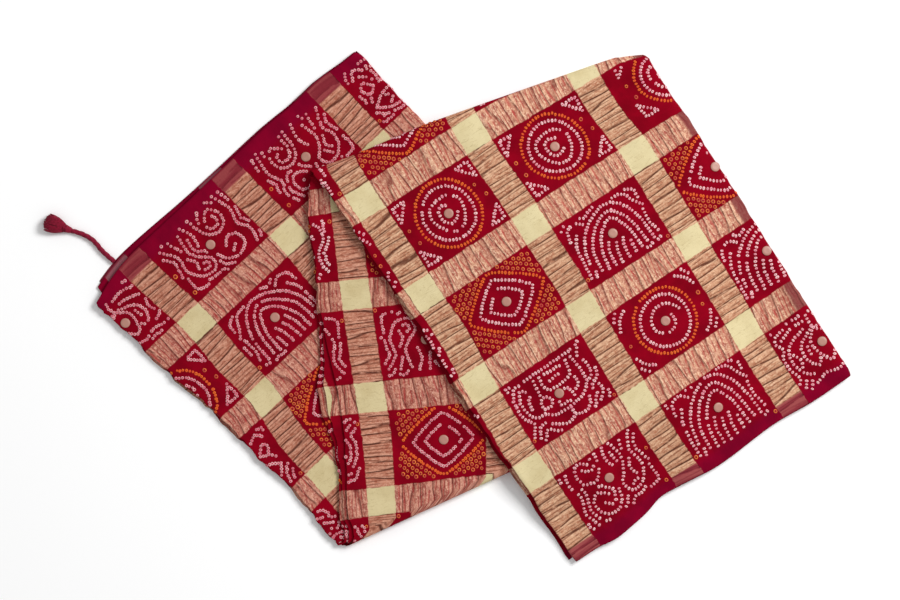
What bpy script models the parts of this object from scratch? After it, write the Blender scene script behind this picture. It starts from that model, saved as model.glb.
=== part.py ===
# Bandhani cloth, folded lengthwise into a strip of four layers and laid back and forth as three panels,
# with a twisted cord and a tassel at one corner of its hem.
# Metres, +Z up. The origin is the middle of the cloth's outline, on the surface that it rests on.

import math
from collections import namedtuple

import bmesh
import bpy
import numpy as np

MM = 0.001

# Driving dimensions, in millimetres
SHEET = 1.0            # thickness of one layer of cloth
LAYER_GAP = 0.5        # air between two layers of the strip
PANEL_GAP = 1.2        # air between two panels
ROLL_MARGIN = 9.0      # how far past a panel's outline the panel above it stays up
MIDDLE_SLOPE = 115.0   # run over which the middle panel comes down beside the bottom one
TOP_SLOPE = 76.0       # run over which the top panel comes down beside the middle one
ACROSS_STEPS = 8       # straight steps across one layer
TURN_STEPS = 6         # steps round each fold between two panels
ROW_PITCH = 31.0       # distance between two sections along the strip
HEM_ROW = 18.0         # distance from each hem to one more section beside it
CREASE_REACH = 3.0     # widths of a crease after which it has faded out
MIDDLE = (-0.2, 1.6)   # middle of the cloth's outline, in the plan that the sections below are given in

# Heights of the layers' middles over the strip's underside, and of the whole strip and panel
LAYER_PITCH = SHEET + LAYER_GAP
LAYER_HEIGHTS = [SHEET / 2 + n * LAYER_PITCH for n in range(4)]
STRIP_HEIGHT = 4 * SHEET + 3 * LAYER_GAP
PANEL_PITCH = STRIP_HEIGHT + PANEL_GAP

# Sections of the strip, seen from above: where its left fold and its right fold are, and how far
# inside the left fold the free edges of layers 0 and 1 lie (below nought they stand out past it)
Section = namedtuple("Section", "left_x left_y right_x right_y edge_0 edge_1")

BOTTOM_PANEL = [
    Section(-341, 1, -102, 231, 17, 12),
    Section(-319, -22, -76, 202, 5, 3),
    Section(-286, -51, -48, 172, -2, 1),
    Section(-254, -81, -19, 139, 2, -2),
    Section(-220, -110, 11, 105, -3, 1),
    Section(-190, -143, 48, 59, 2, 4),
    Section(-158, -172, 92, 4, -2, 2),
    Section(-137, -198, 135, -46, 1, 3),
    Section(-124, -211, 170, -83, 4, 3),
]
MIDDLE_PANEL = [
    Section(-115, -207, 182, -79, 10, 5),
    Section(-119, -179, 187, -53, 8, 4),
    Section(-122, -134, 189, -8, 10, 3),
    Section(-137, -86, 179, 40, 19, 7),
    Section(-137, -39, 172, 85, 8, 4),
    Section(-139, 8, 166, 132, 2, 5),
    Section(-144, 51, 161, 172, 2, 4),
    Section(-147, 91, 155, 204, 1, 3),
    Section(-146, 116, 152, 220, 1, 3),
]
TOP_PANEL = [
    Section(-141, 117, 157, 222, 2, 3),
    Section(-115, 83, 175, 196, -1, 3),
    Section(-87, 40, 195, 165, 2, -2),
    Section(-58, 0, 215, 134, -3, 1),
    Section(-30, -36, 238, 99, -2, 2),
    Section(-3, -78, 259, 66, -4, -1),
    Section(22, -117, 283, 32, -2, 1),
    Section(48, -154, 305, -3, -4, -2),
    Section(72, -195, 326, -37, -3, 2),
    Section(95, -228, 341, -62, -4, 1),
]

# How far each layer's hem stands out past the straight line across the strip's first and last
# sections: what all layers share, by the share of the way across, then what each layer adds
Bow = namedtuple("Bow", "share out")
FIRST_HEM_BOW = [Bow(0, 0), Bow(0.15, 8), Bow(0.5, 5.5), Bow(0.87, 1), Bow(1, 0)]
LAST_HEM_BOW = [Bow(0, 0), Bow(0.13, 2.5), Bow(0.23, 3), Bow(0.3, -3), Bow(0.44, -6.5),
                Bow(0.64, -6), Bow(0.76, -3.5), Bow(0.84, 0), Bow(1, 0)]
HemReach = namedtuple("HemReach", "first_left first_right last_left last_right")
HEM_REACH = [
    HemReach(9, 0, -2, -1),
    HemReach(8, 2, -3, -2),
    HemReach(-4, -3, -2, -2),
    HemReach(0, 0, 0, 0),
]

# Soft creases and puffed folds of the panels that show: a ridge from one point to another
Crease = namedtuple("Crease", "panel x1 y1 x2 y2 width height")
CREASES = [
    Crease("top", 152, 208, 334, -58, 9, 1.6),
    Crease("top", -124, 92, 86, -222, 8, 1.3),
    Crease("top", -110, 122, 120, 204, 8, 1.2),
    Crease("top", 138, -208, 96, -120, 19, 2.2),
    Crease("top", 206, -160, 176, -96, 18, 1.5),
    Crease("top", 262, -108, 232, -40, 17, 1.3),
    Crease("top", 20, 60, 70, -20, 14, 1.0),
    Crease("bottom", -333, 2, -112, 220, 9, 1.4),
    Crease("bottom", -318, -30, -215, -124, 8, 1.8),
    Crease("bottom", -146, 141, -54, 180, 6, 1.5),
    Crease("bottom", -214, -124, -150, -190, 9, 1.2),
    Crease("bottom", -250, 20, -214, -14, 12, 1.0),
]

# Twisted cord and tassel at the hem's left corner, lying on the surface
CORD_RADIUS = 2.3
CORD_LIFT = 0.1        # air under the cord
CORD_PITCH = 4.5       # distance between two points of the cord's curve
CORD_ROUTE = [(-321.6, 40.4), (-327.6, 45.6), (-333.2, 50.8), (-337.4, 56.0), (-342.4, 60.9),
              (-348.8, 64.6), (-355.0, 66.9), (-360.2, 68.4)]
HEAD_LENGTH = 9.0
HEAD_RADIUS = 4.0
STRAND_RADIUS = 0.75
STRAND_SIDES = 3
STRAND_STEPS = 4
StrandRing = namedtuple("StrandRing", "strands half_width half_height length")
STRAND_RINGS = [
    StrandRing(5, 2.4, 1.5, 18.0),
    StrandRing(13, 4.9, 2.9, 19.5),
    StrandRing(20, 7.4, 4.3, 18.5),
]
CORD_GAP = 0.3         # air between the cord's end and the tassel's head

CLOTH_COLOUR = (0.30, 0.004, 0.016, 1)
CORD_COLOUR = (0.27, 0.005, 0.035, 1)


def clear_scene():
    for thing in list(bpy.data.objects):
        bpy.data.objects.remove(thing, do_unlink=True)


def plain_material(name, colour, roughness):
    material = bpy.data.materials.new(name)
    material.use_nodes = True
    shader = material.node_tree.nodes["Principled BSDF"]
    shader.inputs["Base Color"].default_value = colour
    shader.inputs["Roughness"].default_value = roughness
    shader.inputs["Metallic"].default_value = 0.0
    return material


def add_object(name, mesh, material):
    thing = bpy.data.objects.new(name, mesh)
    thing.data.materials.append(material)
    bpy.context.scene.collection.objects.link(thing)
    return thing


def world(plan, up):
    """A point in metres, about the middle of the cloth's outline."""
    return ((plan[0] - MIDDLE[0]) * MM, (plan[1] - MIDDLE[1]) * MM, up * MM)


# Smooth in-between values

def smooth_step(share):
    share = min(max(share, 0.0), 1.0)
    return share * share * (3 - 2 * share)


def through_points(points, share):
    """The point at a share of the way along a smooth curve through all the points."""
    points = np.asarray(points, float)
    place = share * (len(points) - 1)
    first = min(int(place), len(points) - 2)
    t = place - first
    before = points[max(first - 1, 0)]
    start = points[first]
    end = points[first + 1]
    after = points[min(first + 2, len(points) - 1)]
    return 0.5 * (2 * start + (end - before) * t + (2 * before - 5 * start + 4 * end - after) * t ** 2
                  + (3 * start - before - 3 * end + after) * t ** 3)


def distance_to_line(point, start, end):
    """Distance in plan from a point to a straight line between two points."""
    along = end - start
    share = np.clip(np.dot(point - start, along) / np.dot(along, along), 0, 1)
    return float(np.linalg.norm(point - start - share * along))


def inside(point, outline):
    """Whether a point in plan lies inside a closed outline."""
    crossings = 0
    for (x1, y1), (x2, y2) in zip(outline, np.roll(outline, -1, axis=0)):
        if (y1 > point[1]) != (y2 > point[1]):
            crossings += point[0] < x1 + (point[1] - y1) / (y2 - y1) * (x2 - x1)
    return crossings % 2 == 1


# How high the ground under each panel is

def outline_of(panel):
    left = [(s.left_x, s.left_y) for s in panel]
    right = [(s.right_x, s.right_y) for s in panel]
    return np.array(left + right[::-1], float)


BOTTOM_OUTLINE = outline_of(BOTTOM_PANEL)
MIDDLE_OUTLINE = outline_of(MIDDLE_PANEL)


def held_up(point, outline, slope):
    """1 over a panel and its rolled edge, and down to 0 over the slope beside it."""
    if inside(point, outline):
        return 1.0
    nearest = min(distance_to_line(point, a, b) for a, b in zip(outline, np.roll(outline, -1, axis=0)))
    return 1.0 - smooth_step((nearest - ROLL_MARGIN) / slope)


def ground_under(panel, point):
    if panel == "bottom":
        return 0.0
    under_middle = PANEL_PITCH * held_up(point, BOTTOM_OUTLINE, MIDDLE_SLOPE)
    if panel == "middle":
        return under_middle
    return (under_middle + PANEL_PITCH) * held_up(point, MIDDLE_OUTLINE, TOP_SLOPE)


def crease_height(panel, point):
    total = 0.0
    for crease in CREASES:
        if crease.panel != panel:
            continue
        start = np.array((crease.x1, crease.y1), float)
        end = np.array((crease.x2, crease.y2), float)
        away = distance_to_line(point, start, end) / crease.width
        if away < CREASE_REACH:
            total += crease.height * math.exp(-away * away)
    return total


# One section across the strip: layer 0 at the bottom is folded up round the right edge to layer 3 on
# top, that is folded at the left to layer 2, and that is folded inside the first fold to layer 1

def arc(centre_across, centre_height, radius, first_angle, last_angle, steps, side):
    """Points between the ends of an arc: across, height, and the direction of the cloth's face."""
    found = []
    for n in range(1, steps):
        angle = math.radians(first_angle + (last_angle - first_angle) * n / steps)
        c, s = math.cos(angle), math.sin(angle)
        found.append((centre_across + radius * c, centre_height + radius * s, side * c, side * s))
    return found


def straight(start, end, width, height, face):
    """A flat layer from start to end. Between them its points lie at the same places in every layer."""
    places = [width * n / ACROSS_STEPS for n in range(1, ACROSS_STEPS)]
    if start > end:
        places.reverse()
    return [(across, height, 0.0, face) for across in [start, *places, end]]


def section_line(width, edge_0, edge_1):
    """The middle of the cloth through one section."""
    h0, h1, h2, h3 = LAYER_HEIGHTS
    outer_radius = (h3 - h0) / 2
    inner_radius = (h2 - h1) / 2
    left_radius = (h3 - h2) / 2
    right = width - outer_radius - SHEET / 2
    left = left_radius + SHEET / 2
    return (
        straight(edge_0, right, width, h0, -1)
        + arc(right, (h0 + h3) / 2, outer_radius, -90, 90, 6, 1)
        + straight(right, left, width, h3, 1)
        + arc(left, (h2 + h3) / 2, left_radius, 90, 270, 4, 1)
        + straight(left, right, width, h2, -1)
        + arc(right, (h1 + h2) / 2, inner_radius, 90, -90, 4, -1)
        + straight(right, edge_1, width, h1, 1)
    )


# The strip's rows from hem to hem

Row = namedtuple("Row", "panel turn section")


def rows_of(name, panel):
    """Rows of one panel, a pitch apart, on smooth curves through its sections."""
    ends = np.array([s[:4] for s in panel], float)
    steps = np.diff(ends, axis=0)
    longest = max(np.hypot(steps[:, 0], steps[:, 1]).sum(), np.hypot(steps[:, 2], steps[:, 3]).sum())
    count = round(longest / ROW_PITCH)
    shares = [n / count for n in range(count + 1)]
    if name == "bottom":
        shares.insert(1, HEM_ROW / longest)
    if name == "top":
        shares.insert(count, 1 - HEM_ROW / longest)
    return [Row(name, 0.0, Section(*through_points(panel, share))) for share in shares]


def rows_between(name, last, first):
    """Rows round the fold from one panel's last section to the next panel's first."""
    found = []
    for n in range(1, TURN_STEPS):
        share = n / TURN_STEPS
        section = Section(*(np.array(last) * (1 - share) + np.array(first) * share))
        found.append(Row(name, 180.0 * share, section))
    return found


def strip_rows():
    return (
        rows_of("bottom", BOTTOM_PANEL)
        + rows_between("bottom fold", BOTTOM_PANEL[-1], MIDDLE_PANEL[0])
        + rows_of("middle", MIDDLE_PANEL)
        + rows_between("top fold", MIDDLE_PANEL[-1], TOP_PANEL[0])
        + rows_of("top", TOP_PANEL)
    )


def ends_of(row):
    left = np.array((row.section.left_x, row.section.left_y))
    right = np.array((row.section.right_x, row.section.right_y))
    return left, right, float(np.linalg.norm(right - left))


def place(row, across, height, moved=0.0):
    """Where a point of the strip's section lies: across from the left fold, height over its underside."""
    left, right, width = ends_of(row)
    along = (right - left) / width
    plan = left + along * across + moved
    if row.panel == "bottom":
        return plan, height + height / STRIP_HEIGHT * crease_height("bottom", plan)
    if row.panel == "middle":
        return plan, ground_under("middle", plan) + STRIP_HEIGHT - height
    if row.panel == "top":
        return plan, ground_under("top", plan) + height + height / STRIP_HEIGHT * crease_height("top", plan)
    turn = math.radians(row.turn)
    if row.panel == "bottom fold":
        outward = np.array((along[1], -along[0]))
        middle = STRIP_HEIGHT + PANEL_GAP / 2
        radius = middle - height
    else:
        outward = np.array((-along[1], along[0]))
        middle = ground_under("middle", plan) + STRIP_HEIGHT + PANEL_GAP / 2
        radius = PANEL_GAP / 2 + height
    return plan + outward * radius * math.sin(turn), middle - radius * math.cos(turn)


def hem_shift(rows, number, across, height):
    """How far in plan a hem point is moved out past its section's straight line."""
    if number not in (0, len(rows) - 1):
        return 0.0
    first = number == 0
    left, right, width = ends_of(rows[number])
    inner_left, inner_right, _ = ends_of(rows[1] if first else rows[-2])
    share = min(max(across / width, 0.0), 1.0)
    outward = (left - inner_left) * (1 - share) + (right - inner_right) * share
    bow = FIRST_HEM_BOW if first else LAST_HEM_BOW
    out = np.interp(share, [b.share for b in bow], [b.out for b in bow])
    reaches = [reach[:2] if first else reach[2:] for reach in HEM_REACH]
    out += np.interp(height, LAYER_HEIGHTS, [a + (b - a) * share for a, b in reaches])
    return outward / np.linalg.norm(outward) * out


def add_band(mesh, near_start, far_start, far_end, near_end, rightwards):
    """A four-cornered face as two triangles, split the same way seen from above in every layer."""
    if rightwards:
        mesh.faces.new((near_start, far_start, far_end))
        mesh.faces.new((near_start, far_end, near_end))
    else:
        mesh.faces.new((near_start, far_start, near_end))
        mesh.faces.new((far_start, far_end, near_end))


def cloth_mesh():
    rows = strip_rows()
    mesh = bmesh.new()
    loops = []
    for number, row in enumerate(rows):
        line = section_line(ends_of(row)[2], row.section.edge_0, row.section.edge_1)
        faces = []
        for side in (SHEET / 2, -SHEET / 2):
            made = []
            for across, height, face_across, face_up in line:
                moved = hem_shift(rows, number, across, height)
                plan, up = place(row, across + side * face_across, height + side * face_up, moved)
                made.append(mesh.verts.new(world(plan, up)))
            faces.append(made)
        loops.append(faces)
    count = len(line)
    rightwards = [line[n + 1][0] > line[n][0] for n in range(count - 1)]
    for one, two in zip(loops, loops[1:]):
        for n in range(count - 1):
            add_band(mesh, one[0][n], two[0][n], two[0][n + 1], one[0][n + 1], rightwards[n])
            add_band(mesh, one[1][n + 1], two[1][n + 1], two[1][n], one[1][n], not rightwards[n])
        add_band(mesh, one[1][0], two[1][0], two[0][0], one[0][0], True)
        add_band(mesh, one[0][-1], two[0][-1], two[1][-1], one[1][-1], True)
    for faces, turned in ((loops[0], False), (loops[-1], True)):
        for n in range(count - 1):
            corners = (faces[0][n], faces[0][n + 1], faces[1][n + 1], faces[1][n])
            mesh.faces.new(corners[::-1] if turned else corners)
    if mesh.calc_volume(signed=True) < 0:
        bmesh.ops.reverse_faces(mesh, faces=mesh.faces)
    finished = bpy.data.meshes.new("cloth")
    mesh.to_mesh(finished)
    mesh.free()
    finished.shade_smooth()
    return finished


def build_cloth():
    material = plain_material("bandhani cloth", CLOTH_COLOUR, 0.75)
    return add_object("cloth", cloth_mesh(), material)


# Cord and tassel

def cord_points():
    """Points along the cord's route on the surface, a pitch apart."""
    steps = np.diff(np.array(CORD_ROUTE), axis=0)
    count = round(np.hypot(steps[:, 0], steps[:, 1]).sum() / CORD_PITCH)
    return [through_points(CORD_ROUTE, n / count) for n in range(count + 1)]


def build_cord(material):
    points = cord_points()
    curve = bpy.data.curves.new("tassel_cord", "CURVE")
    curve.dimensions = "3D"
    curve.bevel_depth = CORD_RADIUS * MM
    curve.bevel_resolution = 2
    curve.use_fill_caps = True
    spline = curve.splines.new("POLY")
    spline.points.add(len(points) - 1)
    for point, (x, y) in zip(spline.points, points):
        point.co = (*world((x, y), CORD_RADIUS + CORD_LIFT), 1)
    return add_object("tassel_cord", curve, material)


def head_mesh(frame):
    """The tassel's head: a turned bead, round at the cord and open towards the strands."""
    start, along, across = frame
    profile = [(0.0, 0.55), (0.12, 0.72), (0.35, 0.95), (0.55, 1.0), (0.75, 0.88), (1.0, 0.95)]
    mesh = bmesh.new()
    rings = []
    sides = 16
    for share, girth in profile:
        ring = []
        for n in range(sides):
            angle = 2 * math.pi * n / sides
            radius = HEAD_RADIUS * girth
            plan = start + along * (share * HEAD_LENGTH) + across * (radius * math.cos(angle))
            up = HEAD_RADIUS + radius * math.sin(angle)
            ring.append(mesh.verts.new(world(plan, up)))
        rings.append(ring)
    for one, two in zip(rings, rings[1:]):
        for n in range(sides):
            mesh.faces.new((one[n], one[(n + 1) % sides], two[(n + 1) % sides], two[n]))
    mesh.faces.new(rings[0][::-1])
    mesh.faces.new(rings[-1])
    return finish_mesh("tassel head", mesh)


def strand_mesh(frame, side_tip, up_tip, length, turn):
    """One strand: a thin prism from inside the head, spreading to its place at the skirt's end."""
    start, along, across = frame
    mesh = bmesh.new()
    rings = []
    for step in range(STRAND_STEPS + 1):
        share = step / STRAND_STEPS
        spread = 0.30 + 0.70 * smooth_step(0.15 + 0.85 * share)
        reach = HEAD_LENGTH * 0.70 + (length + HEAD_LENGTH * 0.30) * share
        middle = start + along * reach + across * (side_tip * spread)
        rest = STRAND_RADIUS * 1.05 + STRAND_RINGS[-1].half_height
        middle_up = rest + up_tip * spread + (HEAD_RADIUS - rest) * (1 - smooth_step(share * 2.5))
        ring = []
        for n in range(STRAND_SIDES):
            angle = turn + 2 * math.pi * n / STRAND_SIDES
            plan = middle + across * (STRAND_RADIUS * math.cos(angle))
            up = middle_up + STRAND_RADIUS * math.sin(angle)
            ring.append(mesh.verts.new(world(plan, up)))
        rings.append(ring)
    for one, two in zip(rings, rings[1:]):
        for n in range(STRAND_SIDES):
            mesh.faces.new((one[n], one[(n + 1) % STRAND_SIDES], two[(n + 1) % STRAND_SIDES], two[n]))
    mesh.faces.new(rings[0][::-1])
    mesh.faces.new(rings[-1])
    return finish_mesh("strand", mesh)


def finish_mesh(name, mesh):
    if mesh.calc_volume(signed=True) < 0:
        bmesh.ops.reverse_faces(mesh, faces=mesh.faces)
    finished = bpy.data.meshes.new(name)
    mesh.to_mesh(finished)
    mesh.free()
    return finished


def build_tassel(material):
    """Head with its strands joined on as one solid."""
    last = np.array(cord_points()[-1])
    before = np.array(cord_points()[-2])
    along = (last - before) / np.linalg.norm(last - before)
    across = np.array((-along[1], along[0]))
    frame = (last + along * CORD_GAP, along, across)
    tassel = add_object("tassel", head_mesh(frame), material)
    skirt = bmesh.new()
    for number, ring in enumerate(STRAND_RINGS):
        for n in range(ring.strands):
            angle = 2 * math.pi * (n + 0.25 + 0.5 * number) / ring.strands
            length = ring.length + 0.9 * math.sin(5 * angle + number)
            strand = strand_mesh(frame, ring.half_width * math.cos(angle), ring.half_height * math.sin(angle),
                                 length, angle)
            skirt.from_mesh(strand)
    strands = add_object("strands", finish_mesh("strands", skirt), material)
    strands.hide_render = True
    strands.display_type = "WIRE"
    joined = tassel.modifiers.new("strands", "BOOLEAN")
    joined.operation = "UNION"
    joined.use_self = True
    joined.object = strands
    return tassel


def main():
    clear_scene()
    build_cloth()
    twisted = plain_material("twisted cord", CORD_COLOUR, 0.7)
    build_cord(twisted)
    build_tassel(twisted)


main()
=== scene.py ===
# Dresses the folded bandhani cloth: one thin sheet on its solid's folds, its tied dots, the discs sewn
# on it, and the twisted cord with its tassel, on a pale floor in soft light.
import math
import bpy
import numpy as np
from mathutils import Euler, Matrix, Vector
from mathutils.bvhtree import BVHTree
from mathutils.geometry import barycentric_transform


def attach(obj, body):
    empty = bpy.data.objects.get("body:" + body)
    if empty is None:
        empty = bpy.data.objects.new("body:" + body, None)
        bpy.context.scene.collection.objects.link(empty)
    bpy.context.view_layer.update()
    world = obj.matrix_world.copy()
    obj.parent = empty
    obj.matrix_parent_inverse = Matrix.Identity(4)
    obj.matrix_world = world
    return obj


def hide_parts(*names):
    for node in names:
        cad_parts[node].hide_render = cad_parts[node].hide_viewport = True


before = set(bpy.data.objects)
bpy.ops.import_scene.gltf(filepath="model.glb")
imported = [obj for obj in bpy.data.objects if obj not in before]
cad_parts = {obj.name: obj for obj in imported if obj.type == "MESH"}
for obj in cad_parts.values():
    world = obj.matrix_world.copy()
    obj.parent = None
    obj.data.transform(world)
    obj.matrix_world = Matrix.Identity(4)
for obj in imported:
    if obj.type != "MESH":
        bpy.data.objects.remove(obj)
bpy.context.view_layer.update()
mm = 0.001
print("frame loaded:", ", ".join(sorted(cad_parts)))


# Camera, straight above the cloth
cameraSetup = {
    "height": 4.0,              # metres over the floor, so that the view is almost flat
    "sensor": 36.0,
    "frameWidth": 0.81,         # metres of cloth across the frame
    "clothHeight": 0.012,       # height at which that width is taken
    "aim": (-0.0187, 0.0043),
    "farthest": 20.0,
}


def addCamera():
    data = bpy.data.cameras.new("topCamera")
    data.sensor_width = cameraSetup["sensor"]
    reach = cameraSetup["height"] - cameraSetup["clothHeight"]
    data.lens = cameraSetup["sensor"] * reach / cameraSetup["frameWidth"]
    data.clip_end = cameraSetup["farthest"]
    camera = bpy.data.objects.new("topCamera", data)
    camera.location = (*cameraSetup["aim"], cameraSetup["height"])
    bpy.context.scene.collection.objects.link(camera)
    bpy.context.scene.camera = camera


addCamera()
print("camera placed")


# Helpers for curves, colours and meshes

def curveThrough(points, count=90):
    # a smooth curve through all the points, as a line of count places
    points = np.asarray(points, float)
    places = np.linspace(0, 1, count) * (len(points) - 1)
    first = np.clip(places.astype(int), 0, len(points) - 2)
    t = (places - first)[:, None]
    before = points[np.maximum(first - 1, 0)]
    start = points[first]
    end = points[first + 1]
    after = points[np.minimum(first + 2, len(points) - 1)]
    return 0.5 * (2 * start + (end - before) * t + (2 * before - 5 * start + 4 * end - after) * t ** 2
                  + (3 * start - before - 3 * end + after) * t ** 3)


def evenly(points, spacing):
    # points an even distance apart along a line of points
    points = np.asarray(points, float)
    run = np.concatenate([[0], np.cumsum(np.linalg.norm(np.diff(points, axis=0), axis=1))])
    count = max(round(run[-1] / spacing), 1)
    wanted = np.linspace(0, run[-1], count + 1)
    return np.stack([np.interp(wanted, run, points[:, axis]) for axis in range(points.shape[1])], axis=1)


def smoothStep(low, high, value):
    share = np.clip((value - low) / (high - low), 0, 1)
    return share * share * (3 - 2 * share)


latticeSize = 64        # cells after which soft noise repeats
latticeStart = 300      # keeps its places above nought


def softNoise(x, y, size, seed):
    # smooth random swells about size across, from -1 to 1
    lattice = np.random.default_rng(seed).uniform(-1, 1, (latticeSize, latticeSize))
    gridX, gridY = x / size + latticeStart, y / size + latticeStart
    cellX, cellY = np.floor(gridX).astype(int), np.floor(gridY).astype(int)
    shareX, shareY = smoothStep(0, 1, gridX - cellX), smoothStep(0, 1, gridY - cellY)

    def corner(addX, addY):
        return lattice[(cellX + addX) % latticeSize, (cellY + addY) % latticeSize]

    near = corner(0, 0) * (1 - shareX) + corner(1, 0) * shareX
    far = corner(0, 1) * (1 - shareX) + corner(1, 1) * shareX
    return near * (1 - shareY) + far * shareY


def srgb(red, green, blue):
    # a colour as seen, 0 to 255, in the linear values that a shader takes
    parts = [c / 255 for c in (red, green, blue)]
    return (*[c / 12.92 if c <= 0.04045 else ((c + 0.055) / 1.055) ** 2.4 for c in parts], 1.0)


def addPiece(name, points, faces, materials, smooth=True):
    mesh = bpy.data.meshes.new(name)
    mesh.from_pydata([tuple(p) for p in points], [], [tuple(f) for f in faces])
    for material in materials:
        mesh.materials.append(material)
    if smooth:
        mesh.shade_smooth()
    piece = bpy.data.objects.new(name, mesh)
    bpy.context.scene.collection.objects.link(piece)
    return piece


def gridFaces(rows, columns, closed=False, base=0):
    # four-cornered faces of a grid of points, row by row
    faces = []
    for r in range(rows - 1):
        near, far = base + r * columns, base + (r + 1) * columns
        for c in range(columns if closed else columns - 1):
            after = (c + 1) % columns
            faces.append((near + c, near + after, far + after, far + c))
    return faces


def tubeFaces(rings, sides, base=0):
    # the faces of a closed tube of rings of points, its two ends among them
    faces = [f[::-1] for f in gridFaces(rings, sides, closed=True, base=base)]
    faces.append(tuple(range(base, base + sides)))
    faces.append(tuple(reversed(range(base + (rings - 1) * sides, base + rings * sides))))
    return faces


# Helpers for materials

def newMaterial(name, roughness):
    material = bpy.data.materials.new(name)
    material.use_nodes = True
    shader = material.node_tree.nodes["Principled BSDF"]
    shader.inputs["Roughness"].default_value = roughness
    shader.inputs["Metallic"].default_value = 0.0
    return material, material.node_tree, shader


def makeNode(tree, kind, sockets=None, **settings):
    node = tree.nodes.new(kind)
    for key, value in settings.items():
        setattr(node, key, value)
    for key, value in (sockets or {}).items():
        if isinstance(value, bpy.types.NodeSocket):
            tree.links.new(value, node.inputs[key])
        else:
            node.inputs[key].default_value = value
    return node


def calculate(tree, operation, first, second=0.0, third=0.0):
    return makeNode(tree, "ShaderNodeMath", {0: first, 1: second, 2: third}, operation=operation).outputs[0]


def multiply(tree, first, second):
    return calculate(tree, "MULTIPLY", first, second)


def distanceFrom(tree, value, middle):
    return calculate(tree, "ABSOLUTE", calculate(tree, "SUBTRACT", value, middle))


def fade(tree, value, low, high):
    # 0 below low to 1 above high, smoothly, or the other way round where low is the larger
    return makeNode(tree, "ShaderNodeMapRange", {0: value, 1: low, 2: high, 3: 0.0, 4: 1.0},
                    interpolation_type="SMOOTHSTEP").outputs[0]


def blendColours(tree, share, first, second, blend="MIX"):
    node = makeNode(tree, "ShaderNodeMix", {0: share, 6: first, 7: second}, data_type="RGBA",
                    blend_type=blend)
    return node.outputs[2]


def noise(tree, place, scale, detail=2.0, roughness=0.5, distortion=0.0):
    return makeNode(tree, "ShaderNodeTexNoise", {
        "Vector": place, "Scale": scale, "Detail": detail, "Roughness": roughness,
        "Distortion": distortion}).outputs["Fac"]


def cellNoise(tree, u, v, scaleU, scaleV, shift=0.0, **settings):
    # noise over the cloth's cells, with its own scale each way
    place = makeNode(tree, "ShaderNodeCombineXYZ", {
        0: multiply(tree, u, scaleU), 1: multiply(tree, v, scaleV), 2: shift}).outputs[0]
    return noise(tree, place, 1.0, **settings)


def mottledMaterial(name, look):
    # two colours mixed by noise over the object. The look gives the noise's scale, detail and
    # roughness, and the span over which it fades from the first colour to the second.
    material, tree, shader = newMaterial(name, look["roughness"])
    shader.inputs["Specular IOR Level"].default_value = look["specular"]
    place = makeNode(tree, "ShaderNodeTexCoord").outputs["Object"]
    share = noise(tree, place, *look["noise"])
    if "span" in look:
        share = fade(tree, share, *look["span"])
    tree.links.new(blendColours(tree, share, *look["colours"]), shader.inputs["Base Color"])
    return material, tree, shader, place


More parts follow.
